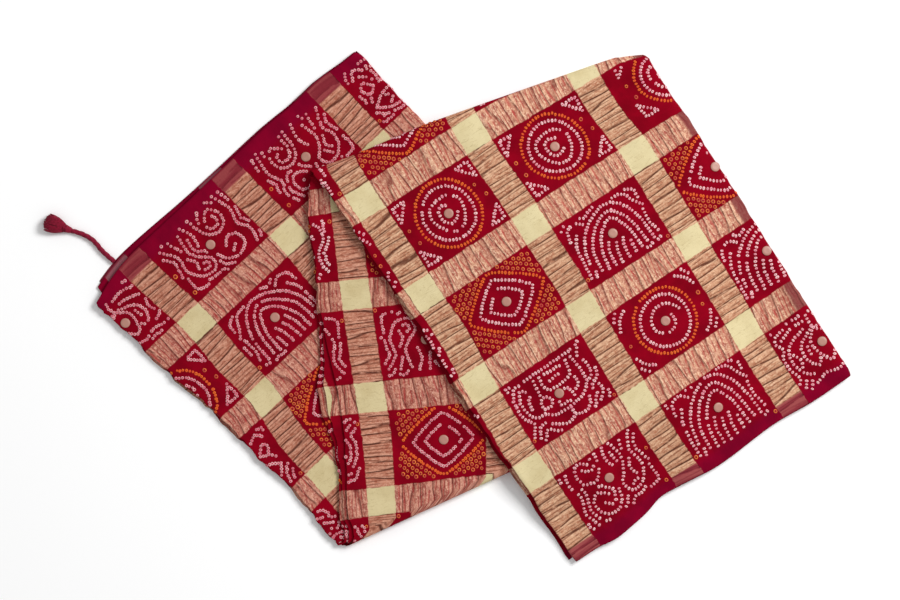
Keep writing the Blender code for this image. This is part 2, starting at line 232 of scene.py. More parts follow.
# The cloth: a strip of four layers, 0 to 3, that lies in three panels with layer 3 on top, or layer 0
# in the middle one. Each row below is one section across the strip, in millimetres of plan: left fold
# x and y, right fold x and y, how far inside the left fold the free edges of layers 0 and 1 lie, then
# the cloth's cells there: v at the left and right, u at the left and right. Woven bands run where u or
# v is a whole number.
cloth = {
    "bottom": [
        (-339, 3, -102, 231, 17, 12, 0.13, 0.13, -0.43, 2.39),
        (-316, -19, -76, 202, 5, 3, 0.50, 0.50, -0.435, 2.385),
        (-284, -49, -48, 172, -2, 1, 1.00, 1.00, -0.445, 2.39),
        (-251, -78, -19, 139, 2, -2, 1.49, 1.49, -0.39, 2.41),
        (-218, -108, 11, 105, -3, 1, 1.975, 1.975, -0.37, 2.44),
        (-188, -141, 48, 59, 2, 4, 2.50, 2.68, -0.31, 2.42),
        (-156, -170, 92, 4, -2, 2, 2.95, 3.46, -0.275, 2.42),
        (-136, -197, 135, -44, 1, 3, 3.30, 4.22, -0.29, 2.42),
        (-122, -214, 171, -80, 4, 3, 3.59, 4.77, -0.30, 2.42),
    ],
    "middle": [
        (-114, -211, 183, -76, 10, 5, 3.63, 4.78, -0.33, 2.50),
        (-119, -179, 187, -53, 8, 4, 4.01, 5.00, -0.35, 2.50),
        (-122, -134, 189, -8, 10, 3, 4.48, 5.48, -0.34, 2.50),
        (-137, -86, 179, 40, 19, 7, 5.005, 6.00, -0.41, 2.50),
        (-137, -39, 172, 85, 8, 4, 5.50, 6.49, -0.35, 2.50),
        (-139, 8, 166, 132, 2, 5, 6.01, 6.97, -0.31, 2.50),
        (-144, 51, 161, 172, 2, 4, 6.48, 7.41, -0.31, 2.50),
        (-147, 91, 155, 204, 1, 3, 6.98, 7.78, -0.30, 2.50),
        (-146, 116, 155, 220, 1, 3, 7.28, 8.00, -0.28, 2.50),
    ],
    "top": [
        (-141, 118, 161, 223, 2, 3, 7.54, 8.19, -0.23, 2.53),
        (-115, 83, 176.5, 197, -1, 3, 8.00, 8.55, -0.20, 2.52),
        (-87, 40, 198, 167, 2, -2, 8.50, 9.00, -0.20, 2.49),
        (-59, 0, 217.5, 135.5, -3, 1, 9.00, 9.40, -0.18, 2.49),
        (-34, -38, 241, 101, -2, 2, 9.50, 9.85, -0.19, 2.51),
        (-8, -81, 261.5, 67.5, -4, -1, 10.01, 10.32, -0.165, 2.51),
        (17, -120, 284, 32.5, -2, 1, 10.5, 10.75, -0.15, 2.51),
        (45, -156, 306, -2.5, -4, -2, 11.0, 11.2, -0.115, 2.53),
        (70, -196, 327.5, -36, -3, 2, 11.45, 11.6, -0.12, 2.53),
        (94, -230, 343.5, -60.5, -4, 1, 11.87, 11.87, -0.12, 2.53),
    ],
    "middlePoint": (-0.2, 1.6),             # of the outline, in that plan
    "layers": (0.2, 1.9, 3.6, 5.2),         # heights of the strip's four layers
    "stripHeight": 5.5,
    "panelGap": 1.2,
    "rollMargin": 9.0,                      # how far past a panel the one above it stays up
    "middleSlope": 115.0,                   # runs over which a panel comes down beside the one below
    "topSlope": 76.0,
    "innerShift": [(0.1, -0.25), (3.0, 0.24)],      # v, and how far layer 1 lies from its even place in u
    "rowPitch": 3.3,
    "fineShare": 0.56,                      # share of layer 0 that shows and so has fine columns
    "columns": {"fine": 56, "coarse": 17, "outer": 98, "inner": 21},    # points across the layers
    "foldSteps": (9, 6, 6),                 # and round the strip's right fold, its left and its inner one
    "foldInset": 0.3,                       # how far these folds stay inside the outline
    "turnSteps": 14,                        # steps round the fold between two panels
    "hemFade": 40.0,                        # distance from the hem over which its waves fade out
    "hemRows": 6,                           # rows inside the hem by which its direction is taken
    "hemEdge": [(0.25, 0.12), (0.05, 0.32), (-6.0, 0.4)],   # how far out and in its turned rows lie
    "fadePower": 1.5,                       # how steeply the hems' waves and the fold's bow fade
    "swell": 0.55,                          # height of the soft unevenness, and how broad it is
    "swellWidths": (42.0, 19.0),
    "crinkle": 0.32,                        # height of the crinkles in the woven bands
    "bandReach": (0.12, 0.15),              # how far from a band's middle they go, in cells of u and v
    "lengthPuckers": (30.0, 260.0, 16.0),   # how finely they run in u and v, and a size that divides both
    "crossPuckers": (300.0, 24.0, 16.0),
    "cellPuckers": 7.0,                     # how broad the faint ones in the dyed cells are
    "flat": (1.11, 1.29),                   # metres, hem to hem and across
    "firstHemBow": [(0, -1), (0.14, 8.5), (0.38, 8), (0.5, 8), (0.66, 8), (0.76, 5.6), (0.86, 5.6),
                    (0.93, 2), (1, 0)],
    "lastHemBow": [(0, 0.5), (0.08, 0.8), (0.14, 3.3), (0.2, 1.8), (0.26, -0.6), (0.32, -5.2), (0.38, -4),
                   (0.44, -1.7), (0.5, 0.5), (0.57, 0.4), (0.68, -1.8), (0.75, -1.8), (0.86, 0.9), (1, 0.6)],
    "foldBow": [(0, 0), (0.12, 0), (0.28, 3.5), (0.4, 5.4), (0.86, 6.4), (0.93, 5), (1, 0)],
    "foldFade": 90.0,                       # distance from the top fold over which its bow fades out
    "firstHemReach": [(9, 0), (7, 1), (-5, -5), (0, 0)],    # each layer's hem, at its left and right
    "lastHemReach": [(-5, -9), (-7, -8), (-6, -7), (0, 0)],
    "ruffleReach": 11.0,                    # how far in from the side folds their small waves go
    "ruffleWidths": (11.0, 6.0),            # how broad the two sizes of wave are
    "ruffles": {"bottom": (1.2, 0.7), "middle": (1.3, 0.5), "top": (0.7, 0.5)},     # left and right
}

# Soft creases by panel: a ridge (or, below nought, a trough) from x1, y1 to x2, y2, then width, height
creases = {
    "top": [
        (152, 208, 334, -58, 9, 1.6), (-124, 92, 86, -222, 8, 1.3), (-110, 122, 120, 204, 8, 1.2),
        (138, -208, 96, -120, 19, 2.2), (206, -160, 176, -96, 18, 1.5), (262, -108, 232, -40, 17, 1.3),
        (20, 60, 70, -20, 14, 1.0), (-80, 90, -20, 70, 10, 0.7), (60, 150, 130, 120, 12, 0.8),
        (150, 60, 215, 20, 11, 0.7), (60, -60, 110, -100, 10, 0.8), (-10, 10, 30, -30, 9, -0.6),
        (110, 190, 150, 150, 8, 0.7),
    ],
    "bottom": [
        (-333, 2, -112, 220, 9, 1.4), (-318, -30, -215, -124, 8, 1.8), (-146, 141, -54, 180, 6, 1.5),
        (-214, -124, -150, -190, 9, 1.2), (-250, 20, -214, -14, 12, 1.0), (-300, -10, -262, -44, 10, 0.8),
        (-190, 60, -160, 20, 10, 0.7), (-170, -60, -140, -100, 9, 0.7), (-230, 90, -180, 60, 12, 0.7),
    ],
    "middle": [
        (-134, -190, -20, -180, 7, 0.9), (-130, -60, -90, -40, 7, 0.8), (-128, 20, -96, 36, 7, 0.9),
        (-138, 70, -120, 30, 5, 0.8), (-138, 92, -128, 80, 7, -2.0), (-118, 100, -108, 60, 7, -1.2),
        (-100, -120, -40, -150, 9, 0.8), (-60, -150, 20, -190, 8, 0.7),
    ],
}


def outlineOf(panel):
    rows = np.array(cloth[panel], float)
    return np.concatenate([rows[:, 0:2], rows[::-1, 2:4]])


def distanceTo(points, starts, ends):
    along = ends - starts
    offset = points[:, None] - starts
    share = np.clip((offset * along).sum(2) / (along ** 2).sum(1), 0, 1)
    return np.linalg.norm(offset - share[..., None] * along, axis=2)


def insideOf(points, outline):
    ends = np.roll(outline, -1, axis=0)
    x, y = points[:, 0, None], points[:, 1, None]
    straddles = (outline[:, 1] > y) != (ends[:, 1] > y)
    rise = np.where(ends[:, 1] == outline[:, 1], 1.0, ends[:, 1] - outline[:, 1])
    crossing = x < outline[:, 0] + (y - outline[:, 1]) / rise * (ends[:, 0] - outline[:, 0])
    return (straddles & crossing).sum(1) % 2 == 1


def heldUp(points, outline, slope):
    # 1 over a panel and its rolled edge, and down to 0 over the slope beside it
    away = distanceTo(points, outline, np.roll(outline, -1, axis=0)).min(1)
    away = np.where(insideOf(points, outline), 0, away)
    return 1 - smoothStep(0, 1, (away - cloth["rollMargin"]) / slope)


def groundUnder(panel, points):
    pitch = cloth["stripHeight"] + cloth["panelGap"]
    if panel == "bottom":
        return np.zeros(len(points))
    ground = pitch * heldUp(points, outlineOf("bottom"), cloth["middleSlope"])
    if panel == "middle":
        return ground
    return (ground + pitch) * heldUp(points, outlineOf("middle"), cloth["topSlope"])


def creaseLift(panel, points):
    total = np.zeros(len(points))
    for x1, y1, x2, y2, width, height in creases[panel]:
        away = distanceTo(points, np.array([(x1, y1)], float), np.array([(x2, y2)], float))[:, 0]
        total += height * np.exp(-(away / width) ** 2)
    return total


def stripRows():
    # every row of the sheet from hem to hem: its panel, its turn round a fold, and its section
    found = []
    for number, panel in enumerate(("bottom", "middle", "top")):
        table = np.array(cloth[panel], float)
        if number:
            last = found[-1][2]
            first = table[0]
            for n in range(1, cloth["turnSteps"]):
                share = n / cloth["turnSteps"]
                fold = "bottomFold" if number == 1 else "topFold"
                found.append((fold, math.pi * share, last * (1 - share) + first * share))
        steps = np.diff(table, axis=0)
        longest = max(np.hypot(steps[:, 0], steps[:, 1]).sum(), np.hypot(steps[:, 2], steps[:, 3]).sum())
        count = round(longest / cloth["rowPitch"])
        for section in curveThrough(table, count + 1):
            found.append((panel, 0.0, section))
    return found


def sectionLine(width, edge0, edge1):
    # one section across the strip: across, height, the outer face's direction, layer and its share
    h0, h1, h2, h3 = cloth["layers"]
    right = width - (h3 - h0) / 2 - cloth["foldInset"]
    left = (h3 - h2) / 2 + cloth["foldInset"]
    columns, foldSteps = cloth["columns"], cloth["foldSteps"]
    lines = []

    def layer(start, end, shares, height, face, number):
        for across in start + (end - start) * shares:
            lines.append((across, height, 0.0, face, number, 0.0))

    def arc(middle, low, high, first, last, steps, side, number):
        radius = (high - low) / 2
        for n in range(1, steps):
            angle = math.radians(first + (last - first) * n / steps)
            c, s = math.cos(angle), math.sin(angle)
            lines.append((middle + radius * c, (low + high) / 2 + radius * s, side * c, side * s,
                          number, n / steps))

    fine = np.linspace(0, cloth["fineShare"], columns["fine"])
    coarse = np.linspace(cloth["fineShare"], 1, columns["coarse"])[1:]
    inner = np.linspace(0, 1, columns["inner"])
    layer(edge0, right, np.concatenate([fine, coarse]), h0, -1, 0)
    arc(right, h0, h3, -90, 90, foldSteps[0], 1, 4)
    layer(right, left, np.linspace(0, 1, columns["outer"]), h3, 1, 3)
    arc(left, h2, h3, 90, 270, foldSteps[1], 1, 5)
    layer(left, right, inner, h2, -1, 2)
    arc(right, h1, h2, 90, -90, foldSteps[2], -1, 6)
    layer(right, edge1, inner, h1, 1, 1)
    return np.array(lines)


def cellsAcross(line, width, section):
    # the cloth's own u at each point of a section, through its four layers and three folds
    uLeft, uRight = section[8], section[9]
    share = line[:, 0] / width
    top = uLeft + (uRight - uLeft) * share
    layer = line[:, 4].astype(int)
    under = top - 2 * (uRight - uLeft) + np.interp(section[6], *np.transpose(cloth["innerShift"]))
    u = np.select([layer == 0, layer == 1, layer == 2], [2 * uRight - top, under, 2 * uLeft - top], top)
    for fold in (4, 5, 6):
        places = np.flatnonzero(layer == fold)
        before, after = u[places[0] - 1], u[places[-1] + 1]
        u[places] = before + (after - before) * line[places, 5]
    return u


def fadeOut(distance, reach):
    # from 1 at nought down to 0 at reach
    return max(1 - distance / reach, 0) ** cloth["fadePower"]


def hemMove(first, share, height, fromHem):
    # how far the hem's waves move a point out, fading with its distance from the hem
    bow = cloth["firstHemBow" if first else "lastHemBow"]
    reach = cloth["firstHemReach" if first else "lastHemReach"]
    out = np.interp(share, *curveThrough(bow).T)
    ends = np.array([np.interp(height, cloth["layers"], [r[side] for r in reach]) for side in (0, 1)])
    out = out + ends[1] + (ends[0] - ends[1]) * (1 - share) ** 1.6
    return out * fadeOut(fromHem, cloth["hemFade"])


def ruffleMove(panel, number, across, width):
    # how far the side folds' small waves move each point of a section
    left, right = cloth["ruffles"][{"bottomFold": "bottom", "topFold": "top"}.get(panel, panel)]
    run = np.full(1, number * cloth["rowPitch"])
    broad, narrow = cloth["ruffleWidths"]
    waves = [softNoise(run, run * 0, broad, seed)[0] + 0.6 * softNoise(run, run * 0, narrow, seed + 1)[0]
             for seed in (21, 23)]
    reach = cloth["ruffleReach"]
    return (left * waves[0] * np.exp(-(across / reach) ** 2)
            + right * waves[1] * np.exp(-((width - across) / reach) ** 2))


def layCloth():
    # every row of the sheet: its points in plan and their heights in the strip, then raised into place
    rows = stripRows()
    foldRows = [n for n, row in enumerate(rows) if row[0] == "topFold"]
    foldAlong = cloth["top"][0]
    foldOut = np.array((foldAlong[1] - foldAlong[3], foldAlong[2] - foldAlong[0]), float)
    foldOut /= np.linalg.norm(foldOut)
    foldCurve = curveThrough(cloth["foldBow"]).T
    plans, faces, cells, heights = [], [], [], []
    for number, (panel, _, section) in enumerate(rows):
        left, right = section[0:2], section[2:4]
        width = float(np.linalg.norm(right - left))
        along = (right - left) / width
        line = sectionLine(width, section[4], section[5])
        share = np.clip(line[:, 0] / width, 0, 1)
        plan = left + along * (line[:, :1] + ruffleMove(panel, number, line[:, :1], width))
        first = number < len(rows) / 2
        fromHem = (number if first else len(rows) - 1 - number) * cloth["rowPitch"]
        if fromHem < cloth["hemFade"]:
            inner = rows[number + (cloth["hemRows"] if first else -cloth["hemRows"])][2]
            outward = (left - inner[0:2]) * (1 - share[:, None]) + (right - inner[2:4]) * share[:, None]
            outward /= np.linalg.norm(outward, axis=1)[:, None]
            plan = plan + outward * hemMove(first, share, line[:, 1], fromHem)[:, None]
        fromFold = max(foldRows[0] - number, number - foldRows[-1], 0) * cloth["rowPitch"]
        bow = np.interp(share, *foldCurve) * fadeOut(fromFold, cloth["foldFade"])
        plans.append(plan + foldOut * bow[:, None])
        heights.append(line[:, 1])
        faces.append(np.column_stack([along * line[:, 2:3], line[:, 3]]))
        v = section[6] + (section[7] - section[6]) * share
        cells.append(np.column_stack([cellsAcross(line, width, section), v]))
    cells = np.array(cells)
    places = raiseRows(rows, np.array(plans), np.array(heights), cells, line[:, 4])
    return turnHems(places, cells, np.array(faces))


def raiseRows(rows, plans, heights, cells, layer):
    # lifts each panel over what lies under it, and carries the rows between two panels round their fold
    places = np.zeros((*heights.shape, 3))
    thick, gap = cloth["stripHeight"], cloth["panelGap"] / 2
    for panel in ("bottom", "bottomFold", "middle", "topFold", "top"):
        own = [n for n, row in enumerate(rows) if row[0] == panel]
        plan, height = plans[own].reshape(-1, 2), heights[own].reshape(-1)
        shape = (len(own), heights.shape[1])
        if panel.endswith("Fold"):
            turn = np.repeat([rows[n][1] for n in own], shape[1])
            along = np.repeat([rows[n][2][2:4] - rows[n][2][0:2] for n in own], shape[1], axis=0)
            along = along / np.linalg.norm(along, axis=1)[:, None]
            outward = np.column_stack([along[:, 1], -along[:, 0]])
            if panel == "bottomFold":
                centre, radius = thick + gap, thick + gap - height
            else:
                outward = -outward
                centre, radius = groundUnder("middle", plan) + thick + gap, gap + height
            plan = plan + outward * (radius * np.sin(turn))[:, None]
            up = centre - radius * np.cos(turn)
        else:
            share = (thick - height if panel == "middle" else height) / thick
            up = groundUnder(panel, plan) + share * thick + share * creaseLift(panel, plan)
            up = up + unevenness(panel, plan, share, cells[own].reshape(-1, 2), np.tile(layer, len(own)))
        places[own] = np.column_stack([plan, up]).reshape(*shape, 3)
    return places


def unevenness(panel, plan, share, cells, layer):
    # soft swells that all the layers share, and crinkles in the bands of the layer that shows
    x, y = plan[:, 0], plan[:, 1]
    broad, narrow = cloth["swellWidths"]
    swell = softNoise(x, y, broad, 3) + 0.5 * softNoise(x, y, narrow, 4)
    u, v = cells[:, 0], cells[:, 1]
    lengthBand = np.abs(u - np.round(u)) < cloth["bandReach"][0]
    crossBand = (np.abs(v - np.round(v)) < cloth["bandReach"][1]) & ~lengthBand
    lengthU, lengthV, lengthSize = cloth["lengthPuckers"]
    crossU, crossV, crossSize = cloth["crossPuckers"]
    puckers = np.where(crossBand, softNoise(u * crossU, v * crossV, crossSize, 6),
                       0.45 * softNoise(x, y, cloth["cellPuckers"], 7))
    puckers = np.where(lengthBand, softNoise(u * lengthU, v * lengthV, lengthSize, 5), puckers)
    shown = layer == (0 if panel == "middle" else 3)
    return cloth["swell"] * share * (swell + 0.6) + np.where(shown, cloth["crinkle"] * (puckers + 0.5), 0)


def turnHems(places, cells, faces):
    # adds the rows that turn under at each hem, on the inner side of the sheet
    for end, inner, further in ((0, 1, cloth["hemRows"]), (-1, -2, -1 - cloth["hemRows"])):
        edge, back = places[end], places[end] - places[further]
        outward = back / np.linalg.norm(back, axis=1)[:, None]
        step = (cells[end] - cells[inner]) * 0.1
        added = np.array([edge + outward * reach - faces[end] * sink for reach, sink in cloth["hemEdge"]])
        addedCells = np.array([cells[end] + step * (n + 1) for n in range(len(added))])
        if end == 0:
            places = np.concatenate([added[::-1], places])
            cells = np.concatenate([addedCells[::-1], cells])
        else:
            places = np.concatenate([places, added])
            cells = np.concatenate([cells, addedCells])
    return places, cells


def addCellMap(piece, name, spots):
    # a UV map from one place for each vertex
    corners = np.zeros(len(piece.data.loops), np.int32)
    piece.data.loops.foreach_get("vertex_index", corners)
    layer = piece.data.uv_layers.new(name=name)
    layer.uv.foreach_set("vector", spots[corners].astype(np.float32).ravel())


def buildCloth(material):
    places, cells = layCloth()
    rowCount, columnCount = places.shape[:2]
    points = (places.reshape(-1, 3) - (*cloth["middlePoint"], 0)) * mm
    faces = gridFaces(rowCount, columnCount)
    piece = addPiece("foldedCloth", points, faces, [material])
    cells = cells.reshape(-1, 2)
    spread = (cells - cells.min(0)) / (cells.max(0) - cells.min(0))
    addCellMap(piece, "clothCells", cells)
    addCellMap(piece, "OFBake", 0.002 + 0.996 * spread)     # with a small margin all round
    print("cloth:", rowCount, "rows,", columnCount, "columns,", 2 * len(faces), "triangles")
    return piece, points, cells, faces


# Woven and dyed looks of the cloth, with painted shade at the strip's right fold and in the creases of the
# band ends
dyesAndShades = {
    "cell": srgb(138, 0, 24),
    "cellDeep": srgb(117, 0, 19),
    "hem": srgb(112, 0, 32),
    "hemLight": srgb(130, 0, 36),
    "dusky": srgb(154, 74, 74),
    # painted shade in the troughs and creases of the dusky band ends
    "duskyCreaseShade": srgb(134, 48, 56),
    "duskyUnder": srgb(140, 82, 90),
    # painted shade where a band rounds the strip's right fold
    "foldShade": srgb(120, 50, 52),
    "cream": srgb(217, 202, 158),
    "creamDeep": srgb(205, 188, 143),
    "creamCrack": srgb(150, 128, 88),
    "redder": (0.87, 0.70, 0.76, 1.0),      # multiplies the bands of the bottom and middle panels
    "creamRedder": (0.92, 0.90, 0.88, 1.0),
}
weaveSizes = {
    "cellMm": 94.0,         # millimetres of cloth for one cell of v
    "cellAcrossMm": 116.0,  # and of u
    "lengthHalf": 0.115,    # half width of a band along the length, in cells of u
    "crossHalf": 0.143,     # half width of a band along the hem, in cells of v
    "firstHem": 0.13,       # v of the two hems
    "lastHem": 11.87,
    "hemWidth": 12.0,       # millimetres of dyed hem
    "duskyWidth": 11.5,     # millimetres of each band's end that the hem's dye has darkened
    "crossStart": (5.0, 10.0),      # millimetres from the hem over which the bands along it begin
    "underTop": (7.8, 7.5),         # v over which the top panel ends and the redder panels begin
    "sideFold": 2.52,       # u of the strip's right fold, where painted shade darkens a band that crosses it
    "sideFoldSpan": (0.105, 0.075),
    "innerMiddle": 1.0,     # u of the strip's outer layers' middle, and how far from it the inner ones begin
    "innerSpan": (1.6, 1.7),
    "thread": 0.7,          # millimetres of plain weave for two threads
}
clothLook = {
    "roughness": (0.85, 0.55),      # of the cells and of the bands
    "specular": 0.04,
    "waver": (0.02, 0.022),         # how far the bands' edges waver, in cells of u and v
    "edges": (0.004, 0.005),        # and how soft they are
    "mottle": (5.0, 4.2),           # how finely the dye is uneven, for each cell of u and v
    "cracks": (7.0, 26.0),          # lines in the plain crossings
    "crackWidth": 0.014,
    "crackStrength": 0.35,
    "sideFoldStrength": 0.9,
    "hemSoftness": (4.0, -5.0),     # millimetres beside the hem's width over which its dye fades out
    "duskySoftness": 0.8,
    "edgeSpan": (1.0, 0.2),         # millimetres from the cloth's very edge, dyed once more
    "edgeStrength": 0.8,
    "puckers": (24.0, 20.0),
    "puckerHeight": 0.35,
    "weaveHeight": 0.03,
    "bump": {"Strength": 0.8, "Distance": 0.0012},
}


# Looks of the woven bands, along the cloth and across it: colours, gaps between creases in
# millimetres, how strongly each part shows, and how fine its tufts are. The deep colour is also painted
# shade in the troughs, and the light one a painted highlight on the ridges. The crease colours are painted
# shade along the creases, and in the cross bands the fine ones are also red dye showing through.
bandLooks = {
    "length": {
        "deep": srgb(175, 115, 87), "middle": srgb(207, 158, 125), "light": srgb(238, 200, 166),
        "creaseShade": srgb(84, 38, 26), "fineCreaseShadeAndDye": srgb(126, 72, 50), "creaseGap": 8.0, "fineGap": 3.3,
        "trough": 0.36, "ridge": 0.3, "strongLine": 0.85, "fineLine": 0.72, "thread": 0.55, "tuft": 24.0,
    },
    "cross": {
        "deep": srgb(162, 96, 80), "middle": srgb(208, 156, 126), "light": srgb(244, 206, 174),
        "creaseShade": srgb(106, 38, 34), "fineCreaseShadeAndDye": srgb(172, 44, 48), "creaseGap": 10.5, "fineGap": 4.2,
        "trough": 0.5, "ridge": 0.22, "strongLine": 0.5, "fineLine": 0.66, "thread": 0.75, "tuft": 26.0,
    },
}


# What both share: how finely each part's noise runs along the band and across it
bandGrain = {
    "sway": (4.4, 1.0),
    "patches": (9.0, 9.0),
    "thread": (74.0, 34.0),
    "speck": (96.0, 84.0),
    "tuftAcross": 16.0,
    "strongSway": 3.0,      # how far the creases stray from even gaps, in gaps
    "fineSway": 4.4,
    "threadHeight": 0.4,    # for the bump
    "fineDepth": 0.35,
    "strongDepth": 0.7,
}


def sawCreases(tree, along, across, count, sway, seed):
    # creases across a band, uneven in their gaps: how far along to the next, and how near one is
    shift = cellNoise(tree, along, across, *bandGrain["sway"], seed)
    place = calculate(tree, "MULTIPLY_ADD", shift, sway, multiply(tree, along, count))
    return calculate(tree, "FRACT", place), calculate(tree, "PINGPONG", place, 0.5)


def layOver(tree, colour, share, strength, other):
    return blendColours(tree, multiply(tree, share, strength), colour, other)


def bandLook(tree, along, across, cellMm, look, seed):
    # metal thread gathered into creases that cross the band: colour, with painted shade in its troughs and
    # creases and a painted highlight on its ridges, and height for the bump
    grain = bandGrain
    strong, toStrong = sawCreases(tree, along, across, cellMm / look["creaseGap"], grain["strongSway"], seed)
    _, toFine = sawCreases(tree, along, across, cellMm / look["fineGap"], grain["fineSway"], seed + 3)
    patchy = cellNoise(tree, along, across, *grain["patches"], seed + 5)
    thread = cellNoise(tree, along, across, *grain["thread"], seed + 7, roughness=0.6, distortion=0.3)
    speck = cellNoise(tree, along, across, *grain["speck"], seed + 11, detail=1.0)
    tuft = cellNoise(tree, along, across, look["tuft"], grain["tuftAcross"], seed + 9, roughness=0.6,
                     distortion=0.4)
    trough = fade(tree, strong, 0.45, 1.0)
    ridge = multiply(tree, fade(tree, strong, 0.03, 0.12), fade(tree, strong, 0.42, 0.16))
    strongLine = multiply(tree, fade(tree, toStrong, 0.11, 0.02), fade(tree, patchy, 0.3, 0.5))
    fineLine = multiply(tree, fade(tree, toFine, 0.24, 0.04), fade(tree, patchy, 0.66, 0.44))
    colour = blendColours(tree, fade(tree, tuft, 0.36, 0.62), look["deep"], look["middle"])
    # painted shade darkens the troughs and crease lines, and a painted highlight lightens the ridges; the
    # tufts, threads and specks are the thread's own uneven tone
    for share, strength, other in (
            (fade(tree, thread, 0.5, 0.66), look["thread"], "light"),
            (fade(tree, thread, 0.45, 0.3), look["thread"] * 0.7, "deep"),
            (fade(tree, speck, 0.54, 0.7), 0.45, "light"),
            (fade(tree, speck, 0.44, 0.3), 0.4, "deep"),
            (ridge, look["ridge"], "light"),
            (trough, look["trough"], "deep"),
            (fineLine, look["fineLine"], "fineCreaseShadeAndDye"),
            (strongLine, look["strongLine"], "creaseShade")):
        colour = layOver(tree, colour, share, strength, look[other])
    height = calculate(tree, "SUBTRACT", multiply(tree, thread, grain["threadHeight"]), trough)
    height = calculate(tree, "MULTIPLY_ADD", fineLine, -grain["fineDepth"], height)
    height = calculate(tree, "MULTIPLY_ADD", strongLine, -grain["strongDepth"], height)
    return colour, height


def bandMasks(tree, u, v):
    # the bands along the cloth and across it, with edges that waver, and the distance to the nearer hem
    sizes = weaveSizes
    (waverU, waverV), (edgeU, edgeV) = clothLook["waver"], clothLook["edges"]
    broad = calculate(tree, "SUBTRACT", cellNoise(tree, u, v, 9, 9), 0.5)
    narrow = calculate(tree, "SUBTRACT", cellNoise(tree, u, v, 26, 30, detail=1.0), 0.5)
    waver = calculate(tree, "MULTIPLY_ADD", narrow, 0.7, broad)
    awayU = calculate(tree, "PINGPONG", calculate(tree, "MULTIPLY_ADD", waver, waverU, u), 0.5)
    awayV = calculate(tree, "PINGPONG", calculate(tree, "MULTIPLY_ADD", waver, waverV, v), 0.5)
    toHem = multiply(tree, sizes["cellMm"], calculate(
        tree, "MINIMUM", calculate(tree, "SUBTRACT", v, sizes["firstHem"]),
        calculate(tree, "SUBTRACT", sizes["lastHem"], v)))
    lengthBand = fade(tree, awayU, sizes["lengthHalf"] + edgeU, sizes["lengthHalf"] - edgeU)
    crossBand = multiply(tree, fade(tree, toHem, *sizes["crossStart"]),
                         fade(tree, awayV, sizes["crossHalf"] + edgeV, sizes["crossHalf"] - edgeV))
    return lengthBand, crossBand, toHem


